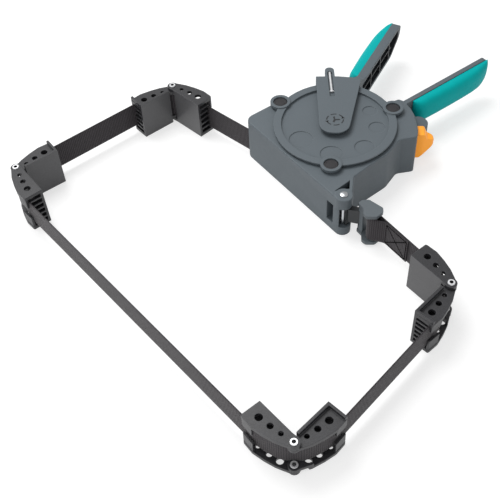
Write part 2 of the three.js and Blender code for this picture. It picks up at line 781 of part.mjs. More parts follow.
piece("housing_body", buildHousing(), "housingPlastic");
piece("fixed_grip", handleGrip(fixedHandle), "tealRubber");

// Base cover: closes the chamber from below, screwed up into the housing's columns
const baseHoles = baseScrews.flatMap(([x, y]) => [
  prism(circle(x, y, screwRadius + fit, facets.small), -overrun, baseThickness + overrun),
  prism(circle(x, y, baseHeadRadius + fit, facets.medium), -overrun, baseHeadHeight + fit),
]);
const wellFloor = baseThickness - axleFootDepth;
const axleWell = prism(circle(0, 0, axleRadius + fit), wellFloor, baseThickness + overrun);
piece("base_cover", cut(chamber(fit, 0, baseThickness), [...baseHoles, axleWell]), "housingPlastic");

baseScrews.forEach(([x, y], i) => {
  const head = baseHeadHeight;
  const screw = lathe(
    [[0, fit], [baseHeadRadius, fit], [baseHeadRadius, head], [screwRadius, head + fit],
      [screwRadius, baseThickness + baseScrewLength - fit * 2], [0, baseThickness + baseScrewLength - fit]],
    x,
    y,
    facets.small,
  );
  const driveSlot = box(x - baseHeadRadius / 2, y - slack, x + baseHeadRadius / 2, y + slack);
  piece(`base_screw_${i + 1}`, screw.subtract(prism(driveSlot, 0, head / 2)), "darkSteel");
});

// Axle, reel, wound webbing and ratchet wheel
piece(
  "centre_axle",
  lathe([[0, wellFloor + fit], [axleRadius, wellFloor + fit],
    [axleRadius, axleTopZ - fit], [axleRadius - fit, axleTopZ], [0, axleTopZ]]),
  "steel",
);
const bore = axleRadius + fit;
const lowerFlangeZ = reelZ + lowerFlange;
const drum = lathe(
  [[bore, reelZ], [reelRadius, reelZ], [reelRadius, lowerFlangeZ], [reelHubRadius, lowerFlangeZ],
    [reelHubRadius, upperFlangeZ], [reelRadius, upperFlangeZ], [reelRadius, reelTopZ], [bore, reelTopZ]],
  0,
  0,
  facets.reel,
);
const drumBoss = prism(circle(0, 0, reelBossRadius, hexagon), reelTopZ - slack, ratchetTopZ - fit)
  .subtract(prism(circle(0, 0, bore, facets.reel), reelTopZ - overrun, ratchetTopZ));
piece("reel_drum", drum.add(drumBoss), "innerPlastic");
const coilBore = reelHubRadius + fit;
piece(
  "strap_coil",
  lathe(
    [[coilBore, strapZ], [coilRadius, strapZ], [coilRadius, strapTopZ], [coilBore, strapTopZ]],
    0,
    0,
    facets.reel,
  ),
  "webbing",
);
const toothPitch = 360 / toothCount;
const toothOutline = Array.from({ length: toothCount }, (_, i) => [
  polar(ratchetRootRadius, i * toothPitch),
  polar(ratchetTipRadius, (i + 1) * toothPitch - toothPitch / 45),
]).flat();
piece(
  "ratchet_wheel",
  prism(toothOutline, ratchetZ, ratchetTopZ)
    .subtract(prism(circle(0, 0, reelBossRadius + fit, hexagon), ratchetZ - overrun, ratchetTopZ + overrun)),
  "steel",
);

// Cover over the reel: a dished lid with a raised ring and three screw bosses, all undercut
// at the foot so that their edges throw a dark line
function buildCover() {
  const bottom = housingTopZ + fit;
  const bossTop = ringTopZ + bossRise;
  const edgeZ = ringTopZ - brim;
  const disc = (inset, low) => prism(circle(0, 0, coverRadius - inset, facets.reel), low, ringTopZ);
  const bosses = (inset, low) =>
    coverScrews.map(([x, y]) => prism(circle(x, y, bossRadius - inset), low, bossTop));
  const dish = prism(circle(0, 0, openingRadius, facets.reel), coverFloorZ, ringTopZ + overrun);
  const ring = disc(undercut, bottom).add(disc(0, edgeZ)).subtract(dish);
  const plug = prism(circle(0, 0, openingRadius - fit, facets.reel), coverBottomZ, coverFloorZ);
  const postOutline = circle(pivotHold.x, pivotHold.y, pawlBoss, facets.medium);
  const post = prism(postOutline, ratchetTopZ + fit, coverFloorZ - slack);
  const capFloor = bossTop - capSink - capHeight - fit;
  const screwHoles = coverScrews.flatMap(([x, y]) => [
    prism(circle(x, y, capRadius + fit), capFloor, leverTopZ),
    prism(circle(x, y, screwRadius + fit, facets.small), coverBottomZ - overrun, leverTopZ),
  ]);
  const recesses = scaled(recessShares, bodyRadius).map(([x, y, r]) =>
    prism(circle(x, y, r), coverFloorZ - recessDepth, coverFloorZ + recessDepth / 2));
  const pinBore = circle(pivotHold.x, pivotHold.y, pinRadius + fit, facets.small);
  return cut(joined([ring, ...bosses(undercut, bottom), ...bosses(0, edgeZ), plug, post]), [
    ...screwHoles,
    ...recesses,
    prism(circle(0, 0, leverHubRadius + fit), coverBottomZ - overrun, leverTopZ),
    prism(pinBore, ratchetZ, coverBottomZ + coverFloor / 2),
  ]);
}

piece("reel_cover", buildCover(), "housingPlastic");
coverScrews.forEach(([x, y], i) => {
  const capTop = ringTopZ + bossRise - capSink;
  const capBottom = capTop - capHeight;
  const tip = coverBottomZ - coverScrewLength + fit;
  const screw = lathe(
    [[0, tip], [screwRadius, tip + fit], [screwRadius, capBottom], [capRadius, capBottom],
      [capRadius, capTop - fit], [capRadius - fit, capTop], [0, capTop]],
    x, y, facets.medium,
  );
  piece(`cover_screw_${i + 1}`, screw, "darkSteel");
});

// Lever: a wedge plate over the cover, undercut like it, a hub down to the pawl carrier,
// and the moving handle
function leverWedge(inset) {
  const slope = Math.tan(leverTaper * rad);
  const tail = leverTail - inset;
  const tailHalf = leverHalfWidth - leverTail * slope - inset;
  const farHalf = leverHalfWidth + leverReach * slope - inset;
  return rounded([
    [-tail, tailHalf, tailHalf * leverTailShare],
    [-tail, -tailHalf, tailHalf * leverTailShare],
    [leverReach - slack, -farHalf, slack],
    [leverReach + overrun, 0, leverReach],
    [leverReach - slack, farHalf, slack],
  ]);
}

function buildLever() {
  const wedge = leverWedge(0);
  const edgeZ = leverTopZ - brim;
  const tongue = rounded([
    [pegPivotReach, -tongueWidth / 2],
    [tongueReach, -tongueWidth / 2, tongueWidth / 2],
    [tongueReach, tongueWidth / 2, tongueWidth / 2],
    [pegPivotReach, tongueWidth / 2],
  ]);
  const skirtFloor = leverZ - skirtDepth;
  const skirtHole = prism(circle(0, 0, bodyRadius + skirtGap, facets.reel), skirtFloor - overrun, edgeZ);
  const skirt = turned(wedge, skirtFloor, leverTopZ - slack, leverHeading)
    .add(turned(tongue, leverZ - slack * 3, leverTopZ, pegHeading))
    .subtract(skirtHole);
  const pivotRow = [
    [pegSlotStart, -pegSlotWidth / 2, slack],
    [pegReach + overrun, -pegSlotWidth / 2, pegSlotWidth / 2],
    [pegReach + overrun, pegSlotWidth / 2, pegSlotWidth / 2],
    [pegSlotStart, pegSlotWidth / 2, slack],
  ];
  const pinHole = circle(pegPivotReach, leverTopZ - pegRadius, pegPinRadius + fit / 3, facets.tiny);
  const hub = prism(circle(0, 0, leverHubRadius), carrierTopZ + fit, leverZ + slack);
  const key = hubSquare / 2 - fit / 2;
  const square = prism(box(-key, -key, key, key), carrierZ, leverZ);
  const solidLever = joined([
    turned(wedge, edgeZ, leverTopZ, leverHeading),
    turned(leverWedge(undercut), leverZ, leverTopZ, leverHeading),
    turned(tongue, leverZ, leverTopZ, pegHeading),
    skirt,
    hub,
    square,
    handleCore(movingHandle),
  ]);
  return cut(solidLever, [
    prism(circle(0, 0, axleRadius + fit), carrierZ - overrun, axleTopZ + fit),
    turned(rounded(pivotRow), leverTopZ - pegSlotDepth, leverTopZ + overrun, pegHeading),
    upright(pinHole, -pegSlotWidth, pegSlotWidth, pegHeading),
  ]);
}

piece("lever", buildLever(), "housingPlastic");
piece("moving_grip", handleGrip(movingHandle), "tealRubber");

// Fold-out winding peg in the lever's slot
const pegZ = leverTopZ - pegRadius;
const pegEnd = circle(pegPivotReach, pegZ, pegRadius, facets.small);
const pegEye = upright(pegEnd, -pegEyeHalf, pegEyeHalf, pegHeading);
const pegRod = carried(circle(0, pegZ, pegRadius, facets.small), pegPivotReach, pegReach, pegHeading);
const pegBoreOutline = circle(pegPivotReach, pegZ, pegPinRadius + fit / 3, facets.tiny);
const pegBore = upright(pegBoreOutline, -pegRadius, pegRadius, pegHeading);
const pegPinHalf = pegSlotWidth - fit;
piece("crank_peg", pegRod.add(pegEye).subtract(pegBore), "steel");
piece(
  "crank_peg_pin",
  upright(circle(pegPivotReach, pegZ, pegPinRadius, facets.tiny), -pegPinHalf, pegPinHalf, pegHeading),
  "steel",
);

// Bore for a pawl's pin, through the pawl and the carrier
function pawlBore(pivot) {
  const outline = circle(pivot.x, pivot.y, pinRadius + fit, facets.small);
  return prism(outline, ratchetZ - overrun, carrierTopZ + overrun);
}

// Pawl carrier on the lever's square
const pivotDrive = polar(drivePivotRadius, drivePawlTip + drivePawlSpan);
const carrierArm = rounded([
  [0, -leverHubRadius * carrierShares[0]],
  [drivePivotRadius, -pawlBoss, pawlBoss],
  [drivePivotRadius, pawlBoss, pawlBoss],
  [0, leverHubRadius * carrierShares[0]],
]);
const carrierBody = joined([
  prism(circle(0, 0, leverHubRadius * carrierShares[1]), carrierZ, carrierTopZ),
  turned(carrierArm, carrierZ, carrierTopZ, drivePawlTip + drivePawlSpan),
  prism(circle(pivotDrive.x, pivotDrive.y, pawlBoss, facets.medium), carrierZ, carrierTopZ),
]);
const squareHalf = hubSquare / 2 + fit / 2;
piece(
  "pawl_carrier",
  cut(carrierBody, [
    prism(box(-squareHalf, -squareHalf, squareHalf, squareHalf), carrierZ - overrun, carrierTopZ + overrun),
    pawlBore(pivotDrive),
  ]),
  "darkSteel",
);

// Pawl: its tip rests just clear of the tooth tips, its pivot lies counter-clockwise of the tip
function pawl(tip, span, pivotRadius) {
  const pivot = polar(pivotRadius, tip + span);
  const toothDepth = ratchetTipRadius - ratchetRootRadius;
  const waist = pawlBoss * pawlWaistShare;
  const near = ratchetTipRadius + fit;
  const outline = [
    polar(near, tip),
    polar(near, tip + toothPitch / 2),
    polar(ratchetTipRadius + slack, tip + toothPitch),
    polar(pivotRadius - waist, tip + span),
    polar(pivotRadius + waist, tip + span),
    polar(near + toothDepth * pawlNoseShare, tip),
  ];
  return prism(outline, ratchetZ, ratchetTopZ)
    .add(prism(circle(pivot.x, pivot.y, pawlBoss, facets.medium), ratchetZ, ratchetTopZ));
}

piece(
  "drive_pawl",
  pawl(drivePawlTip, drivePawlSpan, drivePivotRadius).subtract(pawlBore(pivotDrive)),
  "steel",
);
piece(
  "drive_pawl_pin",
  prism(circle(pivotDrive.x, pivotDrive.y, pinRadius, facets.small), ratchetZ, carrierTopZ),
  "steel",
);

const tailStart = [pivotAlong - tailRadius, pivotAlong + tailRadius];
const tail = rounded([
  [tailStart[0], pivotLeft],
  [tailStart[1], pivotLeft],
  [tailStart[1], footLeft + tailRadius, tailRadius],
  [tailStart[0], footLeft + tailRadius, tailRadius],
]);
piece(
  "holding_pawl",
  pawl(holdingPawlTip, holdingPawlSpan, holdingPivotRadius)
    .add(turned(tail, ratchetZ, ratchetTopZ, triggerHeading))
    .subtract(pawlBore(pivotHold)),
  "steel",
);
const holdPinTop = coverBottomZ + coverFloor / 2 - fit;
piece(
  "holding_pawl_pin",
  prism(circle(pivotHold.x, pivotHold.y, pinRadius, facets.small), ratchetZ, holdPinTop),
  "steel",
);

// Leaf springs press both pawls to the wheel
function leaf(points) {
  return prism(ribbon(points, leafThickness), ratchetZ + fit, ratchetTopZ - fit);
}

const driveLeafRadius = drivePivotRadius + pawlBoss + fit + leafThickness / 2;
const driveLeafEnd = ratchetTipRadius + pawlBoss + slack;
const driveLeafRadii = [driveLeafRadius, driveLeafRadius, driveLeafRadius - pawlBoss / 2, driveLeafEnd];
piece(
  "drive_pawl_spring",
  leaf(driveLeafRadii.map((radius, i) =>
    polar(radius, drivePawlTip + drivePawlSpan * (1 - driveLeafShares[i])))),
  "steel",
);
const leafPost = new THREE.Vector2(baseScrews[1][0], baseScrews[1][1]);
const leafPostAngle = leafPost.angle() / rad;
const holdLeafRadius = leafPost.length() - columnRadius - fit - leafThickness / 2;
piece(
  "holding_pawl_spring",
  leaf([
    polar(holdLeafRadius + fit, leafPostAngle + holdingLeafTurns[0]),
    polar(holdLeafRadius, leafPostAngle),
    polar(holdLeafRadius, leafPostAngle + holdingLeafTurns[1]),
    polar(holdLeafRadius - leafThickness, holdingPawlTip + holdingPawlSpan * (1 - holdingLeafShare)),
  ]),
  "steel",
);

// Flat spiral that brings the lever back
const spiralSteps = 14 * springTurns;
const spiral = Array.from({ length: spiralSteps + 1 }, (_, i) => {
  const turns = (springTurns * i) / spiralSteps;
  return polar(springInnerRadius + springPitch * turns, 360 * turns);
});
piece("lever_return_spring", prism(ribbon(spiral, springStrip), springZ, springZ + springHeight), "steel");

// Release trigger: a finger tab outside the wall, a stem and a foot behind the pawl's tail
function buildTrigger() {
  const wall = triggerWall - sideWall;
  const high = triggerTop - triggerBottom;
  const halfTab = (triggerLeft + triggerRight) / 2;
  const plan = rounded([
    [wall, -triggerRight],
    ...triggerPlanShares.map(([s, t, r]) =>
      [triggerWall + triggerLength * s, triggerMid + halfTab * t, triggerCorner * r]),
    [wall, triggerLeft],
  ]);
  const side = rounded([
    [wall, triggerBottom],
    ...triggerSideShares.map(([s, up, r]) =>
      [triggerWall + triggerLength * s, triggerBottom + high * up, triggerCorner * r]),
    [wall, triggerTop],
  ]);
  const tab = turned(plan, triggerBottom, triggerTop, triggerHeading)
    .intersect(upright(side, -triggerRight - overrun, triggerLeft + overrun, triggerHeading));
  const stemLow = triggerMid - triggerStem / 2;
  const stemHigh = triggerMid + triggerStem / 2;
  const barEnd = barAlong + triggerStroke - slack;
  const stem = box(barAlong, stemLow, wall + overrun, stemHigh);
  const bar = box(barAlong, stemLow, barEnd, footEnd);
  const foot = box(footFace, footEnd - triggerStroke / 2, barEnd, footEnd);
  return joined([tab, ...[stem, bar, foot].map((row) => turned(row, ratchetZ, triggerTop, triggerHeading))]);
}

piece("release_trigger", buildTrigger(), "orangePlastic");
const triggerSpringZ = (triggerBottom + ratchetZ) / 2;
piece(
  "trigger_spring",
  carried(
    circle(triggerMid, triggerSpringZ, triggerStem / 2, facets.small),
    ribAlong + fit, triggerWall - sideWall - fit, triggerHeading,
  ),
  "steel",
);

// Anchor pin and the hook that hangs on it
const anchorFoot = baseThickness / 2 + fit;
const anchorSeat = housingTopZ + noseBossRise + fit;
piece(
  "anchor_pin",
  lathe([[0, anchorFoot], [anchorPinRadius, anchorFoot], [anchorPinRadius, anchorSeat],
    [anchorHeadRadius, anchorSeat], [anchorHeadRadius - fit, anchorSeat + anchorHeadHeight / 2],
    [anchorHeadRadius / 2, anchorSeat + anchorHeadHeight], [0, anchorSeat + anchorHeadHeight]],
  ...anchor, facets.medium),
  "steel",
);

function buildHook() {
  const fromBar = (shares) =>
    scaled(shares, hookBarRadius).map(([x, y, r]) => [hookBar[0] + x, hookBar[1] + y, r]);
  const plateOutline = rounded(fromBar(hookPlateShares));
  const topZ = strapTopZ + hookPlateGap;
  const bottomZ = strapZ - hookPlateGap;
  const wall = rounded(fromBar(hookWallShares), steps.coarse);
  const armZ = (housingTopZ - upperEar + lowerEar) / 2;
  const [armRight, armLeft, armBack] = hookArmShares.map((share) => share * hookBarRadius);
  const armEnd = new THREE.Vector2(hookBarPlace[0] - armBack, hookBarPlace[1]);
  const armMatrix = new THREE.Matrix4().makeRotationZ(armEnd.angle()).setPosition(...anchor, 0);
  const inner = anchorPinRadius + clawGap;
  const arm = prism(
    box(inner, armRight, armEnd.length(), armLeft),
    armZ - hookArmHeight / 2,
    armZ + hookArmHeight / 2,
    armMatrix,
  );
  const claw = prism(circle(...anchor, clawRadius), lowerEar + fit, housingTopZ - upperEar - fit);
  const mouth = [new THREE.Vector2(...anchor)];
  mouthSides.forEach((side) => mouth.push(polar(clawRadius * 2, side).add(mouth[0])));
  const solidHook = joined([
    prism(plateOutline, topZ, topZ + hookPlate),
    prism(plateOutline, bottomZ - hookPlate, bottomZ),
    prism(wall, bottomZ - slack, topZ + slack),
    prism(circle(...hookBar, hookBarRadius, facets.medium), bottomZ - slack, topZ + slack),
    arm,
    claw,
  ]);
  return cut(solidHook, [
    prism(circle(...anchor, inner, facets.medium), 0, housingTopZ),
    prism(mouth, 0, housingTopZ),
  ]);
}

piece("strap_hook", buildHook(), "hookPlastic");

// Corner jaws: two moulded halves on two short tubular rivets, one below and one above the
// webbing, which runs behind their clamping plates. A half is built along +X with the rivets'
// axis at the origin, outward on the given side.
const seatEdge = half + fit;
const innerEarZ = jawFlange + fit;
const shelfFloor = jawFlange;

function mirror(rows, side) {
  return rows.map(([x, y, r = 0]) => [x, y * side, r]);
}

function buildHalf(side, outerEar) {
  const seat = scaled(seatShares, jawLength);
  const flange = scaled(flangeOutlineShares, jawLength);
  flange[0][1] = seat.at(-1)[1] + seatEdge + lipThickness + 2 * fit;
  const plateStart = outerEar ? outerPlateStart : innerPlateStart;
  const flangeTop = outerEar ? jawHeight : jawHeight - jawFlange - fit;
  const neck = outerEar ? jawInset : jawNeck;
  const inside = [[0, -jawEarRadius], [plateStart - fit, -neck], [plateStart, -jawInset],
    [jawLength, -jawInset]];
  const outline = rounded(mirror([...inside, ...flange, [0, jawEarRadius]], side), steps.blunt);
  const ear = circle(0, 0, jawEarRadius, facets.medium);
  const clip = plateStart + fit;
  const far = box(clip, -jawLength, jawLength * 2, jawLength);
  const floorEnd = prism(far, 0, jawHeight);
  const plate = box(plateStart, -jawInset * side, jawLength, (jawPlate - jawInset) * side);
  const solids = [
    prism(side > 0 ? plate : plate.reverse(), 0, jawHeight),
    prism(outline, flangeTop - jawFlange, flangeTop),
    prism(ear, flangeTop - jawFlange, flangeTop),
  ];
  if (outerEar) {
    solids.push(prism(outline, 0, jawFlange), prism(ear, 0, jawFlange));
  } else {
    const riser = box(clip, -jawLength, clip + jawFlange, jawLength);
    solids.push(
      prism(outline, 0, jawFlange).intersect(floorEnd),
      prism(outline, innerEarZ, innerEarZ + jawFlange).intersect(
        prism(box(0, -jawLength, clip + jawFlange, jawLength), 0, jawHeight)),
      prism(outline, 0, innerEarZ + jawFlange).intersect(prism(riser, 0, jawHeight)),
      prism(ear, innerEarZ, innerEarZ + jawFlange),
    );
  }
  const shelfRows = [[plateStart + fit, -jawInset + fit], [jawLength, -jawInset + fit],
    ...[...seat].reverse().map(([s, n]) => [Math.max(s, plateStart + fit), n - seatEdge])];
  const shelf = rounded(mirror(shelfRows, side));
  const shelfRoom = flangeTop - jawFlange - shelfFloor;
  const shelfPitch = (shelfRoom + shelfThickness) / (shelfCount + 1);
  const shelves = Array.from({ length: shelfCount }, (_, k) => {
    const z = shelfFloor + (k + 1) * shelfPitch - shelfThickness;
    return prism(shelf, z, z + shelfThickness);
  });
  const [end, shoulder, crest] = flange;
  const lipBack = [end, shoulder, crest].map(([s, n]) => [s - fit, n - fit]);
  const lipFront = lipBack.map(([s, n]) => [s, n - lipThickness]).reverse();
  const lip = rounded(mirror([...lipBack, ...lipFront], side));
  solids.push(prism(lip, jawHeight - upperLip, flangeTop - fit));
  solids.push(prism(lip, fit, lowerLip));
  if (!outerEar) {
    const rimStart = jawLength - rimThickness;
    const rimRows = [[rimStart, -jawInset], [jawLength, -jawInset], [jawLength, end[1]], [rimStart, end[1]]];
    solids.push(prism(rounded(mirror(rimRows, side)), flangeTop - jawFlange, jawHeight));
  }
  const bored = (shares, bottom, top) => scaled(shares, jawLength).map(([along, out, r]) =>
    prism(circle(along, out * side, r, facets.small), bottom, top));
  const headRoom = circle(0, 0, rivetHeadRadius + fit, facets.medium);
  const headDepth = rivetHeadHeight + 2 * fit;
  const rivetRoom = prism(circle(0, 0, rivetRadius + fit, facets.medium), -overrun, jawHeight + overrun);
  const seats = outerEar
    ? prism(headRoom, -overrun, headDepth)
    : prism(headRoom, innerEarZ + jawFlange, flangeTop - jawFlange + headDepth);
  const frame = cut(joined(solids), [
    ...bored(upperHoleShares, strapTopZ, jawHeight + overrun),
    ...bored(lowerHoleShares, -overrun, strapZ),
    rivetRoom,
    seats,
  ]);
  return joined([frame, ...shelves]);
}

// Tubular rivet between two levels, a flared head at each end
function rivet(bottom, top) {
  return lathe([
    [rivetBore, bottom],
    [rivetHeadRadius, bottom],
    [rivetHeadRadius, bottom + rivetHeadHeight],
    [rivetRadius, bottom + rivetHeadHeight],
    [rivetRadius, top - rivetHeadHeight],
    [rivetHeadRadius, top - rivetHeadHeight],
    [rivetHeadRadius - fit, top],
    [rivetBore, top],
  ], 0, 0, facets.medium);
}

corners.forEach(({ name, halves }, index) => {
  const corner = new THREE.Group();
  corner.position.set(jawPlaces[index][0], jawPlaces[index][1], 0);
  model.add(corner);
  halves.forEach(([heading, side, outerEar]) => {
    const label = outerEar ? "outer" : "inner";
    const mesh = piece(`${name}_${label}_half`, buildHalf(side, outerEar), "jawPlastic", corner);
    mesh.rotation.z = heading * rad;
  });
  piece(`${name}_lower_rivet`, rivet(fit, innerEarZ + jawFlange + fit + rivetHeadHeight), "steel", corner);
  piece(`${name}_upper_rivet`, rivet(strapTopZ + slack, jawHeight + fit + rivetHeadHeight), "steel", corner);
});

export default model;
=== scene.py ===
import math

import bmesh
import bpy
import numpy as np
from mathutils import Matrix, Vector


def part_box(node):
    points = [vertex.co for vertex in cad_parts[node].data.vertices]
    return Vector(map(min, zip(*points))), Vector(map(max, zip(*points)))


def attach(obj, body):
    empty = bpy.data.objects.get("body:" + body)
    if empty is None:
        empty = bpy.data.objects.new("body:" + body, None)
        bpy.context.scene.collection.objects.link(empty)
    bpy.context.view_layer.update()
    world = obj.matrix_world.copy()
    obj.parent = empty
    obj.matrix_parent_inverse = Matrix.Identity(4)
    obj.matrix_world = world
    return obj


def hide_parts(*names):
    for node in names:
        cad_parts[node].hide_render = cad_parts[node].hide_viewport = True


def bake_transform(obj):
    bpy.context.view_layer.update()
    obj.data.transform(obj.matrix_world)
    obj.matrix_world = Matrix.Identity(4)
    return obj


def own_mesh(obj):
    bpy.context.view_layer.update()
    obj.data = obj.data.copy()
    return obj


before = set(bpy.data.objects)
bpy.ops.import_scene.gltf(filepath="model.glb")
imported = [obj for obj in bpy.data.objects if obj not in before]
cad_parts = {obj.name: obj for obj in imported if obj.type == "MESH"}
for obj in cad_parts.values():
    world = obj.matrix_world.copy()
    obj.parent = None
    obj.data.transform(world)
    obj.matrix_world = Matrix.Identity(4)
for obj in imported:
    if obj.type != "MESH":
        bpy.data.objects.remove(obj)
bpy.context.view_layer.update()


# Main housing: one grey glass-filled plastic moulding with the nose for the anchor pin and
# the fixed handle's ribbed core. The mould leaves a fine spark-eroded grain and soft corners, and
# the edges are a little paler, partly polished by handling and partly a painted highlight.
MM = 0.001


class Wire:
    """A shader socket in Python arithmetic: an expression on wires adds the Math nodes it needs."""

    def __init__(self, finish, socket):
        self.finish = finish
        self.socket = socket

    def math(self, operation, *others):
        """One Math node on this wire and the others, in their order."""
        return self.finish.add("Math", {"operation": operation}, dict(enumerate((self, *others))))

    def __add__(self, other):
        return self.math("ADD", other)

    def __sub__(self, other):
        return self.math("SUBTRACT", other)

    def __rsub__(self, other):
        return self.finish.add("Math", {"operation": "SUBTRACT"}, {0: other, 1: self})

    def __mul__(self, other):
        return self.math("MULTIPLY", other)

    def __truediv__(self, other):
        return self.math("DIVIDE", other)

    def __mod__(self, other):
        return self.math("FLOORED_MODULO", other)

    __radd__ = __add__
    __rmul__ = __mul__

    def floor(self):
        """The whole number at or below the value."""
        return self.math("FLOOR")

    def wave(self):
        """Height of a rounded rib that repeats at every whole number: the sine's size, 0 to 1."""
        return (self * math.pi).math("SINE").math("ABSOLUTE")

    def limited(self):
        """The value held between 0 and 1."""
        return self.finish.add("Clamp", {}, {"Value": self})


class Finish:
    """A procedural material. add() makes every node: its type, its settings, then its sockets."""

    def __init__(self, name, uniform):
        self.material = bpy.data.materials.new(name)
        self.material.use_nodes = True
        self.tree = self.material.node_tree
        self.shader = self.tree.nodes["Principled BSDF"]
        self.feed(self.shader, uniform)

    def feed(self, node, sockets):
        """Links wires to a node's sockets, and writes plain values into the others."""
        for key, value in sockets.items():
            if isinstance(value, Wire):
                self.tree.links.new(value.socket, node.inputs[key])
            else:
                node.inputs[key].default_value = value

    def add(self, kind, settings, sockets, out=0):
        """A new node, given back as the wire of one of its outputs."""
        node = self.tree.nodes.new("ShaderNode" + kind)
        for key, value in settings.items():
            setattr(node, key, value)
        self.feed(node, sockets)
        return Wire(self, node.outputs[out])

    def place(self):
        """Place on the piece, in the object's own metres."""
        return self.add("TexCoord", {}, {}, "Object")

    def noise(self, vector, scale, detail=2.0, roughness=0.5):
        """Noise from 0 to 1 with the scale's number of lumps to a metre."""
        sockets = {"Vector": vector, "Scale": scale, "Detail": detail, "Roughness": roughness}
        return self.add("TexNoise", {}, sockets, "Fac")

    def blend(self, share, low, high):
        """Colour from low to high as the share goes from 0 to 1."""
        sockets = {"Factor": share, "A": low, "B": high}
        return self.add("Mix", {"data_type": "RGBA"}, sockets, "Result")


def tint(red, green, blue):
    """Linear colour of a screen colour given as 0 to 255, by the screen's 2.4 power curve and
    the straight line at its foot."""
    screen = np.array([red, green, blue]) / 255
    linear = np.where(screen > 0.04045, ((screen + 0.055) / 1.055) ** 2.4, screen / 12.92)
    return (*linear.tolist(), 1.0)


def dimmed(colour, share):
    """The colour with its red, green and blue times a share."""
    return (*(part * share for part in colour[:3]), 1.0)


def moulded(name, colour, wear_and_highlight, roughness, grain_mm, height_mm, edge_mm, coat=0.0):
    """Moulded plastic: colour that drifts over some 36 mm, gloss that varies in patches of
    some 6 mm, grain as bump, corners rounded to edge_mm, and a rim mask, 1 minus the cosine
    between the rounded and the true normal, that pales the edges: partly edge wear, partly painted
    highlight."""
    finish = Finish(name, {"Coat Weight": coat, "Coat Roughness": 0.25, "IOR": 1.48})
    place = finish.place()
    drift = finish.noise(place, 28.0, 3.0)
    patches = finish.noise(place, 160.0, 4.0, 0.6)
    grain = finish.noise(place, 1 / (grain_mm * MM), 2.0, 0.65)
    soft = finish.add("Bevel", {"samples": 4}, {"Radius": edge_mm * MM})
    true = finish.add("NewGeometry", {}, {}, "Normal")
    facing = finish.add("VectorMath", {"operation": "DOT_PRODUCT"}, {0: soft, 1: true}, "Value")
    rim = ((1 - facing) * 5.0 * (patches + 0.35)).limited()
    shade = finish.blend((drift - 0.5) * 0.9 + 0.5, dimmed(colour, 0.88), colour)
    fine = finish.blend((grain - 0.4).limited() * 0.5, shade, wear_and_highlight)
    relief = {"Strength": 0.35, "Distance": height_mm * MM, "Height": grain, "Normal": soft}
    bump = finish.add("Bump", {}, relief)
    finish.feed(finish.shader, {
        # Painted highlight in part: the rim mask pales the edges, edge wear and a painted highlight
        # line together.
        "Base Color": finish.blend(rim * 0.55, fine, wear_and_highlight),
        "Roughness": roughness + (patches - 0.5) * 0.14 - rim * 0.12,
        "Normal": bump,
    })
    return finish.material


def dress(nodes, material, angle=32):
    """Gives CAD nodes their finish, and smooths their round faces up to an angle in degrees."""
    for name in nodes:
        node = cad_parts[name]
        node.data.materials.clear()
        node.data.materials.append(material)
        node.data.polygons.foreach_set("use_smooth", np.ones(len(node.data.polygons), bool))
        weld = node.modifiers.new("joined corners", "WELD")
        weld.merge_threshold = 0.01 * MM
        split = node.modifiers.new("crisp edges", "EDGE_SPLIT")
        split.split_angle = math.radians(angle)


housing_grey = moulded(
    "housing grey", tint(92, 101, 107), tint(124, 133, 139),
    roughness=0.56, grain_mm=0.55, height_mm=0.05, edge_mm=0.9,
)
dress(["housing_body"], housing_grey)


# Bottom cover: a flat plate of the same plastic that closes the reel chamber, held by four
# black pan-head screws driven up into the housing's columns.
dress(["base_cover"], housing_grey)
blackened = moulded(
    "blackened steel", tint(66, 64, 69), tint(92, 90, 95),
    roughness=0.42, grain_mm=0.25, height_mm=0.02, edge_mm=0.25,
)
dress([f"base_screw_{i}" for i in (1, 2, 3, 4)], blackened)


# Axle, ratchet wheel, pawls, leaf springs and pins: zinc-plated steel, blanked or turned, with
# faint drawing lines and a plating whose gloss varies.
def plated(name, colour, roughness):
    """Plated steel: fine scratches from noise stretched along Z, and cloudy plating."""
    finish = Finish(name, {"Metallic": 1.0})
    place = finish.place()
    stretched = finish.add("Mapping", {}, {"Vector": place, "Scale": (1.0, 1.0, 0.08)})
    lines = finish.noise(stretched, 2600.0, 2.0)
    cloud = finish.noise(place, 240.0, 3.0)
    soft = finish.add("Bevel", {"samples": 4}, {"Radius": 0.2 * MM})
    relief = {"Strength": 0.2, "Distance": 0.02 * MM, "Height": lines, "Normal": soft}
    bump = finish.add("Bump", {}, relief)
    finish.feed(finish.shader, {
        "Base Color": finish.blend(cloud, dimmed(colour, 0.8), colour),
        "Roughness": roughness + (lines - 0.5) * 0.16 + (cloud - 0.5) * 0.1,
        "Normal": bump,
    })
    return finish.material


zinc = plated("zinc-plated steel", tint(206, 209, 212), 0.3)
spring_steel = plated("spring steel", tint(150, 152, 158), 0.34)
# Dark plastic: the reel drum's own colour, and also painted shade in the handles' channels.
dark_plastic_and_shade = moulded(
    "inner plastic and channel shade", tint(44, 48, 52), tint(70, 74, 78),
    roughness=0.5, grain_mm=0.4, height_mm=0.03, edge_mm=0.4,
)
dress([
    "centre_axle", "ratchet_wheel", "drive_pawl", "drive_pawl_pin", "holding_pawl",
    "holding_pawl_pin",
], zinc)
dress(["drive_pawl_spring", "holding_pawl_spring", "lever_return_spring"], spring_steel)
dress(["reel_drum"], dark_plastic_and_shade)
dress(["pawl_carrier"], blackened)


# Webbing: one dark polyester band 25 mm wide. It leaves the reel through the housing's slot,
# passes through the four jaws and ends in a sewn loop round the hook's bar. Woven in cross
# ribs with a firm edge on each side.
STRAP_WIDTH = 25 * MM
STRAP_THICKNESS = 1.2 * MM
STRAP_Z = 6.5 * MM
FIT = 0.3 * MM
BODY_RADIUS = 55 * MM
ANCHOR = np.array([1.2636, -0.8909]) * BODY_RADIUS

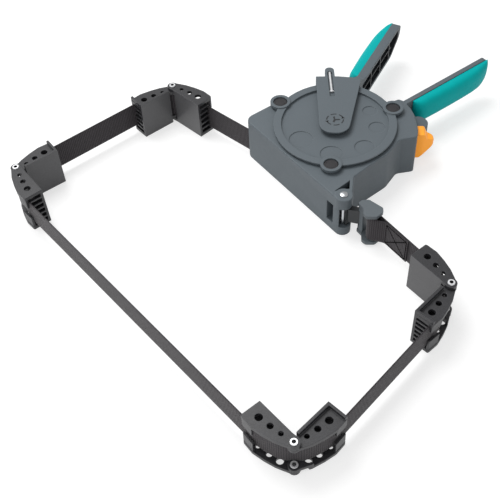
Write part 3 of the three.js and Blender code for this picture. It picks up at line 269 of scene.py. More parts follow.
# A jaw's seat and the bend behind its rivet, as (along, out) of a half. The corners: each
# rivet's place as shares of the frame, then each half's heading, webbing side and name.
JAW_LENGTH = 38.5 * MM
FRAME = np.array([350, 170]) * MM
SEAT = JAW_LENGTH * np.array([
    [0.15, 0.045], [0.31, 0.135], [0.52, 0.2], [0.77, 0.25], [1, 0.245],
])
BEND = np.array([0.095, -0.095]) * JAW_LENGTH
CORNERS = {
    "jaw_1": ((-0.4034, -0.4618), ((9.5, 1, "outer"), (-87.3, -1, "inner"))),
    "jaw_2": ((-0.3846, -1.4365), ((90.8, 1, "inner"), (1.5, -1, "outer"))),
    "jaw_3": ((0.6229, -1.2835), ((184.3, 1, "outer"), (98.7, -1, "inner"))),
    "jaw_4": ((0.5331, -0.2594), ((-81.2, 1, "inner"), (181.3, -1, "outer"))),
}
PLACES = {name: np.array(share) * FRAME for name, (share, _) in CORNERS.items()}


def aim(degrees):
    """Unit vector of a heading in degrees: its cosine and its sine."""
    return np.array([math.cos(math.radians(degrees)), math.sin(math.radians(degrees))])


def heading_of(vector):
    """Heading of a vector in degrees, from its arc tangent."""
    return math.degrees(math.atan2(vector[1], vector[0]))


def on_half(place, heading, side, along, out):
    """Place in plan of a jaw half's own (along, out): along its heading, and out to its side."""
    u = aim(heading)
    left = np.array([-u[1], u[0]])
    return place + np.multiply.outer(along, u) + side * np.multiply.outer(out, left)


def arc(centre, radius, start, end, count):
    """Points of a circle between two headings in degrees."""
    turn = np.radians(np.linspace(start, end, count))
    return centre + radius * np.stack([np.cos(turn), np.sin(turn)], -1)


def through_corner(name):
    """The webbing's way through a jaw: in along one seat, round a parabola, out along the other."""
    place = PLACES[name]
    (first, side, _), (second, other, _) = CORNERS[name][1]
    inward = on_half(place, first, side, SEAT[::-1, 0], SEAT[::-1, 1])
    outward = on_half(place, second, other, SEAT[:, 0], SEAT[:, 1])
    middle = on_half(place, first, side, *BEND)
    t = np.linspace(0, 1, 9)[1:-1, None]
    bend = (1 - t) ** 2 * inward[-1] + 2 * t * (1 - t) * middle + t**2 * outward[0]
    return np.concatenate([inward, bend, outward])


def measured(points):
    """Length along a line up to each of its points."""
    steps = np.linalg.norm(np.diff(points, axis=0), axis=1)
    return np.concatenate([[0], np.cumsum(steps)])


def eased(points, step, rounds):
    """A line at even steps. Then, for some rounds, each point becomes half of itself and a
    quarter of each neighbour, which rounds its kinks."""
    length = measured(points)
    even = np.linspace(0, length[-1], int(length[-1] / step) + 1)
    line = np.stack([np.interp(even, length, points[:, k]) for k in (0, 1)], -1)
    for _ in range(rounds):
        line[1:-1] = (line[:-2] + 2 * line[1:-1] + line[2:]) / 4
    return line


SIDE_WALL = 3 * MM
NOSE_RADIUS = 7 * MM
POST_RADIUS = 3 * MM
POST_SETBACK = 7 * MM
COIL_RADIUS = 38 * MM
BAR_RADIUS = 3.8 * MM
HOOK_WRAP = 205
corner_runs = [through_corner(name) for name in CORNERS]
first_end, last_end = corner_runs[0][0], corner_runs[-1][-1]
entry = np.array([
    -1.055 * BODY_RADIUS,
    ANCHOR[1] - NOSE_RADIUS + SIDE_WALL + STRAP_THICKNESS / 6,
])
entry_heading = heading_of(entry - first_end)
post_path = POST_RADIUS + FIT + STRAP_THICKNESS / 2
post = entry + POST_SETBACK * aim(entry_heading) + post_path * aim(entry_heading + 90)
coil_path = COIL_RADIUS + FIT + STRAP_THICKNESS / 2
crossing = math.degrees(math.asin((post_path + coil_path) / np.linalg.norm(post)))
duct_heading = heading_of(-post) + crossing
bar = ANCHOR + np.array([25.5, 10]) * MM
bar_path = BAR_RADIUS + FIT + STRAP_THICKNESS / 2
bar_gap = np.linalg.norm(bar - last_end)
bar_heading = heading_of(bar - last_end) - math.degrees(math.asin(bar_path / bar_gap))
loop = arc(bar, bar_path, bar_heading - 90, bar_heading - 90 + HOOK_WRAP, 18)
tail_side = loop[0] + (STRAP_THICKNESS + FIT / 3) * aim(bar_heading + 90)
tail_start = tail_side - 2.6 * bar_path * aim(bar_heading)
tail_end = tail_side - 0.72 * bar_gap * aim(bar_heading)
head_run = np.concatenate([
    [coil_path * aim(duct_heading + 90)],
    arc(post, post_path, duct_heading - 90, entry_heading - 90, 8),
])
route = eased(
    np.concatenate([head_run, *corner_runs, loop, [tail_start, tail_end]]),
    step=1.4 * MM, rounds=2,
)
SLOT_SAG = 3.6 * MM


def sag(line):
    """How far the webbing lies below its level, most in the housing's slot. It stays down
    on the first jaw's lower flange and rises to its level at the rivet by a sixth power of
    the way, and by a cosine to the reel on the other side."""
    away = line - entry
    outside = away @ aim(entry_heading) < 0
    share = np.linalg.norm(away, axis=1)
    to_rivet = np.clip(share / np.linalg.norm(PLACES["jaw_1"] - entry), 0, 1)
    to_reel = np.clip(share / np.linalg.norm(head_run[0] - entry), 0, 1)
    held_low = (1 - to_rivet**6) * (1 - 0.12 * to_rivet)
    rising = (1 + np.cos(math.pi * to_reel)) / 2
    return SLOT_SAG * np.where(outside, held_low, rising)


def section(count):
    """Webbing's cross section as a closed loop of (out, up): the sine and the cosine of a
    turn, filled out by the powers 0.5 and 0.35 to a flat band with rounded edges."""
    turn = np.linspace(2 * math.pi, 0, count, endpoint=False)
    up = STRAP_WIDTH / 2 * np.sign(np.cos(turn)) * np.abs(np.cos(turn)) ** 0.35
    out = STRAP_THICKNESS / 2 * np.sign(np.sin(turn)) * np.abs(np.sin(turn)) ** 0.5
    return np.stack([out, up], -1)


def lattice(rows, columns):
    """Quads between rows of points, each row a closed ring."""
    i, j = np.meshgrid(np.arange(rows - 1), np.arange(columns), indexing="ij")
    beside = (j + 1) % columns
    this_row, next_row = i * columns, (i + 1) * columns
    corners = [this_row + j, this_row + beside, next_row + beside, next_row + j]
    return np.stack(corners, -1).reshape(-1, 4).tolist()


def tube(rows, columns):
    """The faces of a closed tube: the quads between its rings, and a face over each end."""
    first = list(range(columns))[::-1]
    last = list(range((rows - 1) * columns, rows * columns))
    return [*lattice(rows, columns), first, last]


def make(name, points, faces, material, body, angle=35, uv=None):
    """A finished piece from its points and faces, smooth up to an angle, riding on a body."""
    mesh = bpy.data.meshes.new(name)
    mesh.from_pydata(points.reshape(-1, 3).tolist(), [], faces)
    mesh.polygons.foreach_set("use_smooth", np.ones(len(mesh.polygons), bool))
    mesh.set_sharp_from_angle(angle=math.radians(angle))
    mesh.materials.append(material)
    if uv is not None:
        corner = np.empty(len(mesh.loops), np.int32)
        mesh.loops.foreach_get("vertex_index", corner)
        layer = mesh.uv_layers.new(name="along and across")
        layer.data.foreach_set("uv", uv[corner].astype(np.float32).ravel())
    mesh.update()
    piece = bpy.data.objects.new(name, mesh)
    bpy.context.scene.collection.objects.link(piece)
    if body:
        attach(piece, body)
    return piece


def band(name, line, start, profile, bottom, material):
    """Webbing along a line in plan: the profile carried along it, upright on the plan's normal,
    its lower edge at the bottom's level, one for all or one for each point."""
    ahead = np.gradient(line, axis=0)
    ahead /= np.linalg.norm(ahead, axis=1)[:, None]
    left = np.stack([-ahead[:, 1], ahead[:, 0]], -1)
    flat = line[:, None, :] + left[:, None, :] * profile[None, :, :1]
    level = STRAP_WIDTH / 2 + np.broadcast_to(bottom, len(line))[:, None, None]
    height = profile[None, :, 1:] + level
    points = np.concatenate([flat, height], -1)
    rows, columns = flat.shape[:2]
    along = np.broadcast_to((start + measured(line))[:, None], (rows, columns))
    across = np.broadcast_to(profile[None, :, 1], (rows, columns))
    uv = np.stack([along, across], -1).reshape(-1, 2)
    return make(name, points, tube(rows, columns), material, None, 50, uv)


RIB_PITCH = 1.7 * MM
ROW_WIDTH = 1.25 * MM


def woven(name, low, high):
    """Woven webbing: ribs across it, each a sine's size along the length, split into warp rows
    of which every other one lies an eighth of a rib further on. The hollows between the yarns
    are painted darker as shade, and the tone changes slightly from yarn to yarn."""
    finish = Finish(name, {"Sheen Weight": 0.25, "Sheen Roughness": 0.4, "IOR": 1.45})
    uv = finish.add("UVMap", {"uv_map": "along and across"}, {})
    along = finish.add("SeparateXYZ", {}, {0: uv}, 0)
    across = finish.add("SeparateXYZ", {}, {0: uv}, 1)
    row = across / ROW_WIDTH
    rib = (along / RIB_PITCH + (row.floor() % 2) * 0.12).wave()
    yarn = row.wave()
    relief = rib * 0.75 + rib * yarn * 0.25
    fuzz = finish.noise(finish.place(), 3000.0, 2.0)
    streak = finish.noise(
        finish.add("CombineXYZ", {}, {0: along * 40.0, 1: row.floor()}), 1.0, 2.0
    )
    # Painted shade: the colour follows the relief, darker in the hollows; fuzz and streak are the
    # yarn's own tone.
    shade = (relief * 0.9 + (fuzz - 0.5) * 0.2 + (streak - 0.5) * 0.3 - 0.08).limited()
    height = relief + fuzz * 0.2
    bump = finish.add("Bump", {}, {"Strength": 0.6, "Distance": 0.3 * MM, "Height": height})
    finish.feed(finish.shader, {
        "Base Color": finish.blend(shade, low, high),
        "Roughness": 0.86 - rib * 0.14,
        "Normal": bump,
    })
    return finish.material


webbing_black = woven("polyester webbing", tint(31, 28, 31), tint(71, 66, 70))
strap_profile = section(20)


def nearest(point):
    """Number of the route's point that lies nearest to a place."""
    return int(np.argmin(np.linalg.norm(route - point, axis=1)))


def stretch(name, start, end, bodies, bend_from, bend_to):
    """One length of the webbing, from one point of the route to another. The bodies and the
    bend's two points are not used.
    """
    line = route[start : end + 1]
    so_far = measured(route)[start]
    piece = band(name, line, so_far, strap_profile, STRAP_Z - sag(line), webbing_black)
    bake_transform(piece)
    return piece


ends = {name: (run[0], run[-1]) for name, run in zip(CORNERS, corner_runs)}
deep = len(SEAT)
near = {name: (run[deep - 1], run[-deep]) for name, run in zip(CORNERS, corner_runs)}
cuts = {name: tuple(map(nearest, pair)) for name, pair in ends.items()}
halfway = (cuts["jaw_3"][1] + cuts["jaw_4"][0]) // 2
strap_pieces = [
    stretch("webbing_head_to_jaw_1", 0, cuts["jaw_1"][1], ("root", "jaw_1"), *near["jaw_1"]),
    stretch("webbing_jaw_1_to_2", cuts["jaw_1"][1], cuts["jaw_2"][0], ("jaw_1", "root"),
            ends["jaw_1"][1], ends["jaw_2"][0]),
    stretch("webbing_in_jaw_2", *cuts["jaw_2"], ("root", "jaw_2"), *near["jaw_2"]),
    stretch("webbing_jaw_2_to_3", cuts["jaw_2"][1], cuts["jaw_3"][0], ("jaw_2", "root"),
            ends["jaw_2"][1], ends["jaw_3"][0]),
    stretch("webbing_in_jaw_3", *cuts["jaw_3"], ("root", "jaw_3"), *near["jaw_3"]),
    stretch("webbing_from_jaw_3", cuts["jaw_3"][1], halfway, ("jaw_3", "root"),
            ends["jaw_3"][1], route[halfway]),
    stretch("webbing_to_jaw_4", halfway, cuts["jaw_4"][0], ("root", "jaw_4"),
            route[halfway], ends["jaw_4"][0]),
    stretch("webbing_in_jaw_4", *cuts["jaw_4"], ("jaw_4", "root"), *near["jaw_4"]),
    stretch("webbing_loop_on_hook", cuts["jaw_4"][1], len(route) - 1, ("root", "hook"),
            ends["jaw_4"][1], tail_end),
]
for strap_piece in strap_pieces:
    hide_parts("strap")


# Stitching: the loop is closed by a sewn box with a cross in it, in thick bonded thread that
# stands a little proud of the webbing on both faces.
thread = Finish("bonded thread", {"Roughness": 0.85, "Specular IOR Level": 0.12})
twist = thread.noise(thread.place(), 1800.0)
thread.feed(thread.shader, {"Base Color": thread.blend(twist, tint(4, 4, 5), tint(18, 17, 19))})
STITCH_PITCH = 2.6 * MM


def stitches(name, corners, origin, along, out, material):
    """Stitches along a chain of straight seams: one small ellipsoid per stitch, its long axis
    on the seam, sunk into the webbing by half of its height."""
    starts, stops = np.array(corners[:-1]), np.array(corners[1:])
    spots, turns = [], []
    for a, b in zip(starts, stops):
        count = max(2, round(np.linalg.norm(b - a) / STITCH_PITCH))
        share = (np.arange(count) + 0.5) / count
        spots.append(a + share[:, None] * (b - a))
        turns.append(np.full(count, math.atan2(b[1] - a[1], b[0] - a[0])))
    spots, turns = np.concatenate(spots), np.concatenate(turns)
    long_half, wide_half, proud_half = 1.3 * MM, 0.65 * MM, 0.3 * MM
    phi, theta = np.meshgrid(
        np.linspace(0, math.pi, 6)[1:-1], np.linspace(2 * math.pi, 0, 6, False), indexing="ij"
    )
    ball = np.stack([
        long_half * np.cos(phi),
        wide_half * np.sin(phi) * np.cos(theta),
        proud_half * np.sin(phi) * np.sin(theta),
    ], -1).reshape(-1, 3)
    ball = np.concatenate([ball, [[long_half, 0, 0], [-long_half, 0, 0]]])
    c, s = np.cos(turns)[:, None], np.sin(turns)[:, None]
    u = spots[:, :1] + ball[None, :, 0] * c - ball[None, :, 1] * s
    v = spots[:, 1:] + ball[None, :, 0] * s + ball[None, :, 1] * c
    plan = origin + u[..., None] * along + ball[None, :, 2:] * out
    points = np.concatenate([plan, (v + STRAP_Z + STRAP_WIDTH / 2)[..., None]], -1)
    rings, sides = phi.shape
    first_pole, last_ring = rings * sides, (rings - 1) * sides
    one = lattice(rings, sides)
    for k in range(sides):
        beside = (k + 1) % sides
        one.append([beside, k, first_pole])
        one.append([last_ring + k, last_ring + beside, first_pole + 1])
    faces = [[i + len(ball) * n for i in face] for n in range(len(spots)) for face in one]
    return make(name, points, faces, material, "hook", 80)


box_start, box_end, box_side = 1 * MM, 24.5 * MM, 10.4 * MM
box_chain = [
    (box_start, -box_side), (box_end, -box_side), (box_end, box_side), (box_start, box_side),
    (box_start, -box_side), (box_end, box_side), (box_end, -box_side), (box_start, box_side),
]
seam_back = -aim(bar_heading)
seam_out = aim(bar_heading + 90)
tail_face = tail_start + seam_out * STRAP_THICKNESS * 0.52
band_face = tail_start - seam_out * STRAP_THICKNESS * 1.57
for label, place in (("outside", tail_face), ("inside", band_face)):
    stitches(f"stitching_{label}", box_chain, place, seam_back, seam_out, thread.material)


# Wound webbing: the band's other end lies on the reel in a tight spiral, each turn on the one
# before it, from the hub out to the turn that runs off to the slot.
CORE_RADIUS = 14.9 * MM
TURN_PITCH = 1.3 * MM
turns_wound = (COIL_RADIUS - CORE_RADIUS) / TURN_PITCH
spin = np.linspace(0, 2 * math.pi * turns_wound, int(turns_wound * 40))
from_axle = CORE_RADIUS + TURN_PITCH * spin / (2 * math.pi) - STRAP_THICKNESS / 2
coil_line = from_axle[:, None] * np.stack([np.cos(spin), np.sin(spin)], -1)
coil = band("wound_webbing", coil_line, 0, section(8), STRAP_Z, webbing_black)
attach(coil, "reel")
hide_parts("strap_coil")


# Reel cover: a dished lid of the housing's plastic with a raised ring, five shallow rounds and
# three bosses. Black plugs close the bosses over the screws.
dress(["reel_cover"], housing_grey)


def turned_part(name, profile, centre, material, body):
    """A solid of revolution: a profile of (radius, height) in mm turned about an upright axis."""
    count = 48
    profile = np.array(profile) * MM
    turn = np.linspace(0, 2 * math.pi, count, endpoint=False)
    radius, height = profile[:, 0][:, None], profile[:, 1][:, None]
    points = np.stack([
        centre[0] + radius * np.cos(turn),
        centre[1] + radius * np.sin(turn),
        np.broadcast_to(height, (len(profile), count)),
    ], -1)
    return make(name, points, tube(len(profile), count), material, body)


plug_black = moulded(
    "plug", tint(40, 39, 42), tint(66, 65, 68),
    roughness=0.6, grain_mm=0.3, height_mm=0.02, edge_mm=0.2,
)
SCREW_PLACES = np.array([[-0.9436, -0.3636], [0.6945, -0.6618], [0.3218, 0.9436]]) * BODY_RADIUS
for number, place in enumerate(SCREW_PLACES, 1):
    screw_box = np.array(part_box(f"cover_screw_{number}")) / MM
    (left, _, low), (right, _, high) = screw_box
    rim = (right - left) / 2
    plug = turned_part(
        f"cover_plug_{number}",
        [[0.2, low], [1.7, low], [2, low + 0.3], [2, high - 1.9], [rim - 0.15, high - 1.9],
         [rim, high - 1.7], [rim, high - 0.45], [rim - 0.15, high - 0.15], [rim - 0.5, high],
         [rim - 1.3, high + 0.02], [rim - 1.5, high - 0.12], [rim - 1.9, high - 0.12],
         [rim - 2.1, high + 0.04], [2, high + 0.1], [0.2, high + 0.12]],
        place, plug_black, "root",
    )
    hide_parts(f"cover_screw_{number}")


# Lever: a wedge of the housing's plastic over the cover, with the moving handle's ribbed core.
# A sign for the turning direction is let into it, and a steel peg folds out of its slot.
dress(["lever"], housing_grey)
LEVER_HEADING = 116.7


def rows_of(items, what):
    """Each face's middle or normal, or each corner's place, as the rows of an array."""
    values = np.empty(len(items) * 3)
    items.foreach_get(what, values)
    return values.reshape(-1, 3)


def second_finish(node, material, chosen):
    """Gives the faces of a CAD node that a mask chooses a finish of their own."""
    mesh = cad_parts[node].data
    mesh.materials.append(material)
    mesh.polygons.foreach_set("material_index", chosen.astype(np.int32))


def paint_channel_shade(node, heading, near, far, start, end, bottom, top):
    """Paints shade into a handle's channel: the CAD faces whose middle lies inside a box
    given along the heading, across it to the left, and in height get the dark plastic."""
    centre = rows_of(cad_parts[node].data.polygons, "center")
    along, across = centre[:, :2] @ aim(heading), centre[:, :2] @ aim(heading + 90)
    inside = (along > start) & (along < end) & (across > near) & (across < far)
    inside &= (centre[:, 2] > bottom) & (centre[:, 2] < top)
    second_finish(node, dark_plastic_and_shade, inside)


# Painted shade: the faces in each handle's channel get the dark plastic.
paint_channel_shade(
    "lever", LEVER_HEADING, near=-0.5 * MM, far=6.3 * MM, start=64 * MM, end=160 * MM,
    bottom=19.9 * MM, top=38.2 * MM,
)
paint_channel_shade(
    "housing_body", 90, near=13 * MM, far=16.4 * MM, start=60 * MM, end=166 * MM,
    bottom=17.9 * MM, top=38.2 * MM,
)
bright_steel = plated("polished steel", tint(246, 247, 249), 0.36)
bright_steel.node_tree.nodes["Principled BSDF"].inputs["Metallic"].default_value = 0.55
dress(["crank_peg", "crank_peg_pin"], bright_steel)


def sheet_sign(name, outlines, level, height, material, body):
    """Flat signs: each closed outline is filled and given a low upright edge."""
    points, faces = [], []
    for outline in outlines:
        count, base = len(outline), len(points)
        for z in (level - height, level):
            points += [[x, y, z] for x, y in outline]
        ring = np.arange(count)
        after = (ring + 1) % count
        side = np.stack([ring, after, after + count, ring + count], -1) + base
        faces += side.tolist()
        faces += [(ring + base + count).tolist(), (ring[::-1] + base).tolist()]
    return make(name, np.array(points), faces, material, body, 20)


def swept_mark(radius, width, start, end):
    """Outline of a circular stroke between two headings."""
    return np.concatenate([
        arc(np.zeros(2), radius + width / 2, start, end, 14),
        arc(np.zeros(2), radius - width / 2, end, start, 14),
    ])


sign_dark = moulded(
    "sign", tint(40, 43, 46), tint(60, 64, 67),
    roughness=0.6, grain_mm=0.3, height_mm=0.02, edge_mm=0.05,
)
SIGN_RADIUS = 7.2 * MM
SIGN_STROKE = 1.1 * MM
sign_marks = [
    swept_mark(SIGN_RADIUS, SIGN_STROKE, start, start + 42) for start in range(10, 360, 60)
]
for tip in (62, 242):
    nose = SIGN_RADIUS * aim(tip)
    forward = aim(tip + 90) * 2.6 * MM
    aside = aim(tip) * 1.7 * MM
    sign_marks.append(np.array([nose - aside, nose + aside, nose + forward])[::-1])
hand_mark = np.array([
    [-3.4, 2.6], [-0.6, 0.6], [1.8, 3.6], [3.4, 3.2], [1.2, -0.4], [2.6, -3.0], [0.8, -3.4],
    [-1, -0.6], [-4, 0.9],
])
sign_marks.append(hand_mark * MM)
sheet_sign(
    "turning_sign", sign_marks, level=48.06 * MM, height=0.5 * MM, material=sign_dark,
    body="lever",
)


# Grips: soft teal rubber moulded over each handle's core, crowned on the palm side and flush
# with the core on its flat side.
def rubber(name, colour, light):
    """Overmoulded rubber: satin, faintly mottled, with a fine matt grain."""
    finish = Finish(name, {"IOR": 1.45, "Specular IOR Level": 0.1})
    place = finish.place()
    mottle = finish.noise(place, 90.0, 3.0)
    grain = finish.noise(place, 2400.0, 2.0, 0.7)
    soft = finish.add("Bevel", {"samples": 4}, {"Radius": 0.6 * MM})
    relief = {"Strength": 0.25, "Distance": 0.04 * MM, "Height": grain, "Normal": soft}
    bump = finish.add("Bump", {}, relief)
    finish.feed(finish.shader, {
        "Base Color": finish.blend(mottle * 0.6 + grain * 0.2, colour, light),
        "Roughness": 0.42 + mottle * 0.12 + grain * 0.06,
        "Normal": bump,
    })
    return finish.material


teal = rubber("teal rubber", tint(0, 162, 163), tint(0, 190, 189))


def grip(name, node, body, heading, side, face, deep, start, end, bottom, top, sweep):
    """A handle's grip: at each place along it a half superellipse stands on the core's face.
    Its depth is a plateau with a round rise at the head and a longer round fall at the tip,
    and over the sweep's length its lower edge curves up round the tip."""
    s = 0.5 - np.cos(np.linspace(0, math.pi, 81)) / 2
    rise = np.clip(s / 0.1, 0, 1)
    fall = np.clip((1 - s) / 0.3, 0, 1)
    swell = 0.88 + 0.12 * np.sin(math.pi * np.clip(s / 0.9, 0, 1))
    rounded = np.sqrt(1 - (1 - rise) ** 2) * np.sqrt(1 - (1 - fall) ** 2)
    depth = deep * swell * rounded + 0.4 * MM
    tip = np.clip(1 - (1 - s) * (end - start) / sweep, 0, 1)
    low = bottom + (top - bottom) * 0.6 * (1 - np.sqrt(1 - tip**2))
    t = side * np.linspace(-math.pi / 2, math.pi / 2, 25)
    out = np.abs(np.cos(t)) ** 0.62
    up = np.sign(np.sin(t)) * np.abs(np.sin(t)) ** 0.8
    middle, half = (top + low) / 2, (top - low) / 2
    along = start + (end - start) * s
    u, left = aim(heading), aim(heading + 90)
    across = side * (face + depth[:, None] * out[None, :])
    across = np.concatenate([across, np.full((len(s), 1), side * face)], 1)
    height = np.concatenate([middle[:, None] + half[:, None] * up, middle[:, None]], 1)
    plan = along[:, None, None] * u + across[..., None] * left
    points = np.concatenate([plan, height[..., None]], -1)
    piece = make(name, points, tube(*height.shape), teal, body, 45)
    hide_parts(node)


grip(
    "moving_grip_rubber", "moving_grip", "lever", LEVER_HEADING, side=1, face=8.3 * MM,
    deep=11.5 * MM, start=72.5 * MM, end=163.4 * MM, bottom=17.6 * MM, top=40.4 * MM,
    sweep=24 * MM,
)
grip(
    "fixed_grip_rubber", "fixed_grip", "root", 90, side=-1, face=18.3 * MM,
    deep=9.5 * MM, start=76 * MM, end=170.4 * MM, bottom=15.6 * MM, top=40.4 * MM,
    sweep=16 * MM,
)


# Release trigger: an orange plastic finger tab on a stem through the housing's wall, pushed out
# by a small coil spring. It glows a little: painted light that brightens its shaded faces.
trigger_orange = moulded(
    "orange plastic", tint(255, 168, 36), tint(255, 200, 100),
    roughness=0.45, grain_mm=0.6, height_mm=0.02, edge_mm=1.4,
)
orange_shader = trigger_orange.node_tree.nodes["Principled BSDF"]
# Painted light: a faint orange glow, though the tab is no lamp.
orange_shader.inputs["Emission Color"].default_value = tint(255, 150, 40)
orange_shader.inputs["Emission Strength"].default_value = 0.24
dress(["release_trigger"], trigger_orange, 40)


# Trigger spring: a small compression coil of hard-drawn wire between a rib of the housing and
# the tab.
def coil_spring(name, near, far, radius, wire, turns, material, body):
    """A coil from one point to another: a ring of wire carried along a helix about their line."""
    axis = (far - near) / np.linalg.norm(far - near)
    aside = np.cross(axis, (0, 0, 1.0))
    upward = np.cross(aside, axis)
    share = np.linspace(0, 1, turns * 20 + 1)[:, None, None]
    turn = share * turns * math.tau
    out = aside * np.cos(turn) + upward * np.sin(turn)
    ring = np.linspace(0, math.tau, 10, endpoint=False)[None, :, None]
    middle = near + (far - near) * share + out * radius
    points = middle + (out * np.cos(ring) + axis * np.sin(ring)) * wire / 2
    return make(name, points, tube(*points.shape[:2]), material, body, 60)


TRIGGER_HEADING = 50.7
SPRING_WIRE = 0.7 * MM
SPRING_RADIUS = 2.5 * MM
SPRING_GIVE = 3.2 * MM
spring_points = rows_of(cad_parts["trigger_spring"].data.vertices, "co")
press_line = np.append(aim(TRIGGER_HEADING), 0.0)
spring_middle = (spring_points.min(0) + spring_points.max(0)) / 2
spring_half = (spring_points @ press_line).max() - spring_middle @ press_line
spring_turns_from = spring_middle - press_line * (spring_half - SPRING_WIRE / 2)
spring_turns_to = spring_middle + press_line * (spring_half - SPRING_WIRE / 2)
trigger_coil = coil_spring(
    "trigger_coil", spring_turns_from, spring_turns_to, SPRING_RADIUS, SPRING_WIRE, turns=6,
    material=spring_steel, body="root",
)
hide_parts("trigger_spring")
1 - SPRING_GIVE / (2 * spring_half)
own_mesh(trigger_coil)


# Drive pawl's leaf: a strip of spring steel held on the carrier, whose free end rides on the
# pawl's back.
drive_leaf = bpy.data.objects.new("drive_leaf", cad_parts["drive_pawl_spring"].data.copy())
bpy.context.scene.collection.objects.link(drive_leaf)
joined = bmesh.new()
joined.from_mesh(drive_leaf.data)
bmesh.ops.remove_doubles(joined, verts=joined.verts, dist=0.01 * MM)
joined.to_mesh(drive_leaf.data)
joined.free()
drive_leaf.data.set_sharp_from_angle(angle=math.radians(32))
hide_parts("drive_pawl_spring")
leaf_points = rows_of(drive_leaf.data.vertices, "co")
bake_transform(drive_leaf)


# Anchor pin and hook: a steel pin with a domed head stands in the nose, and the band's hook, in
# the housing's grey plastic, hangs on it by an open claw, painted dark as the shade under the nose.
dress(["anchor_pin"], zinc)
hook_grey = moulded(
    "hook grey", tint(94, 102, 107), tint(122, 130, 136),
    roughness=0.54, grain_mm=0.55, height_mm=0.04, edge_mm=0.8,
)
painted_shade_claw = moulded(
    "claw in painted shade", tint(38, 41, 44), tint(70, 75, 79),
    roughness=0.46, grain_mm=0.5, height_mm=0.03, edge_mm=0.4,
)
CLAW_REACH = 14 * MM
dress(["strap_hook"], hook_grey)
hook_middles = rows_of(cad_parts["strap_hook"].data.polygons, "center")
from_pin = np.linalg.norm(hook_middles[:, :2] - ANCHOR, axis=1)
# Painted shade: faces within the claw's reach of the pin get a dark finish.
second_finish("strap_hook", painted_shade_claw, from_pin < CLAW_REACH)


# Corner jaws: two black glass-filled halves on tubular rivets. Their clamping faces are smooth
# and painted paler, as if lit more; the rest has the mould's grain. The rivets are drawn from
# bright steel, and their bores are painted dark as shade.
jaw_black = moulded(
    "jaw black", tint(42, 42, 45), tint(112, 112, 116),
    roughness=0.44, grain_mm=0.7, height_mm=0.05, edge_mm=0.8, coat=0.1,
)
lit_jaw_face = moulded(
    "jaw's clamping face, painted light", tint(84, 84, 86), tint(116, 116, 118),
    roughness=0.36, grain_mm=0.9, height_mm=0.02, edge_mm=0.5,
)
for name, (_, halves) in CORNERS.items():
    for heading, side, label in halves:
        half_node = f"{name}_{label}_half"
        dress([half_node], jaw_black)
        facing = rows_of(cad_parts[half_node].data.polygons, "normal")
        inward = -side * aim(heading + 90)
        # Painted light: the inward clamping faces get a paler finish.
        second_finish(half_node, lit_jaw_face, facing[:, :2] @ inward > 0.995)
rivet_nodes = [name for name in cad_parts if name.endswith("rivet")]
dress(rivet_nodes, bright_steel)
rivet_bore_shade = plated("rivet bore, painted shade", tint(70, 72, 76), 0.5)
for rivet_name in rivet_nodes:
    rivet_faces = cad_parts[rivet_name].data.polygons
    low, high = (np.array(corner[:2]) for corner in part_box(rivet_name))
    spots = rows_of(rivet_faces, "center")[:, :2] - (low + high) / 2
    slopes = rows_of(rivet_faces, "normal")[:, :2]
    inside = ((spots * slopes).sum(1) < -0.2 * MM) | (np.linalg.norm(spots, axis=1) < 0.5 * MM)
    # Painted shade: faces inside the rivet's bore get a dark finish.
    second_finish(rivet_name, rivet_bore_shade, inside)


# Table top and light: a pale matt floor that is white where the camera sees it, a large soft
# lamp high on the left, a weaker one lower down in front, and an even pale sky.
floor_mesh = bpy.data.meshes.new("table_top")
reach = 6.0
table_corners = [(-reach, -reach, 0), (reach, -reach, 0), (reach, reach, 0), (-reach, reach, 0)]
floor_mesh.from_pydata(table_corners, [], [(0, 1, 2, 3)])
floor = bpy.data.objects.new("table_top", floor_mesh)
bpy.context.scene.collection.objects.link(floor)
floor.location.z = -0.1 * MM
pale = Finish("table top", {"Base Color": (0.8, 0.8, 0.8, 1), "Roughness": 0.9})
to_camera = pale.add("LightPath", {}, {}, "Is Camera Ray")
to_gloss = pale.add("LightPath", {}, {}, "Is Glossy Ray")
seen = (to_camera + to_gloss).limited()
matt = pale.add("BsdfDiffuse", {}, {"Color": (0.5, 0.5, 0.5, 1)})
glow = pale.add("Emission", {}, {"Color": (1, 1, 1, 1), "Strength": 0.62})
bright = pale.add("AddShader", {}, {0: matt, 1: glow})
mixed = pale.add("MixShader", {}, {0: seen, 1: Wire(pale, pale.shader.outputs[0]), 2: bright})
pale.tree.links.new(mixed.socket, pale.tree.nodes["Material Output"].inputs["Surface"])
floor_mesh.materials.append(pale.material)

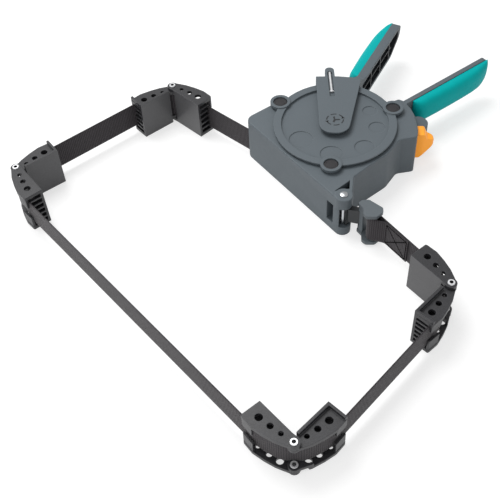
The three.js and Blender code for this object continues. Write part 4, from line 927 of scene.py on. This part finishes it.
world = bpy.data.worlds.new("pale sky")
bpy.context.scene.world = world
world.use_nodes = True
sky = world.node_tree
background = sky.nodes["Background"]
background.inputs["Color"].default_value = (1, 1, 1, 1)
background.inputs["Strength"].default_value = 0.5
path = sky.nodes.new("ShaderNodeLightPath")
clear = sky.nodes.new("ShaderNodeBackground")
clear.inputs["Color"].default_value = (1, 1, 1, 1)
clear.inputs["Strength"].default_value = 1.0
choose = sky.nodes.new("ShaderNodeMixShader")
sky.links.new(path.outputs["Is Camera Ray"], choose.inputs[0])
sky.links.new(background.outputs[0], choose.inputs[1])
sky.links.new(clear.outputs[0], choose.inputs[2])
sky.links.new(choose.outputs[0], sky.nodes["World Output"].inputs["Surface"])


def lamp(name, place, target, size, power):
    """A square soft lamp at a place, facing a target, its size in metres, its power in watts."""
    light = bpy.data.lights.new(name, "AREA")
    light.shape = "SQUARE"
    light.size = size
    light.energy = power
    holder = bpy.data.objects.new(name, light)
    bpy.context.scene.collection.objects.link(holder)
    toward = Vector(target) - Vector(place)
    turned = toward.to_track_quat("-Z", "Y").to_matrix().to_4x4()
    holder.matrix_world = Matrix.Translation(place) @ turned


lamp("key_lamp", (-0.75, -0.15, 1.5), (0.02, -0.05, 0.0), size=0.9, power=17)
lamp("fill_lamp", (0.15, -1.5, 0.85), (0.02, -0.05, 0.0), size=1.2, power=5.5)


# Camera: the photograph's view, from above and in front of the head's right corner. Its lens,
# place and turn are those at which the frame's upright edges, corners and cover fit.
view = bpy.data.cameras.new("camera")
view.sensor_width = 36
view.lens = 62.86
camera = bpy.data.objects.new("camera", view)
bpy.context.scene.collection.objects.link(camera)
right, up, ahead = (
    np.array(v) / np.linalg.norm(v)
    for v in ((0.594, 0.8033, -0.0433), (-0.5924, 0.4732, 0.652), (-0.5442, 0.3616, -0.757))
)
turn = Matrix(np.column_stack([right, up, -ahead]).tolist())
camera.matrix_world = Matrix.Translation((0.4366, -0.3878, 0.5521)) @ turn.to_4x4()
view.clip_start, view.clip_end = 0.01, 50
bpy.context.scene.camera = camera
bpy.context.scene.view_settings.view_transform = "Standard"
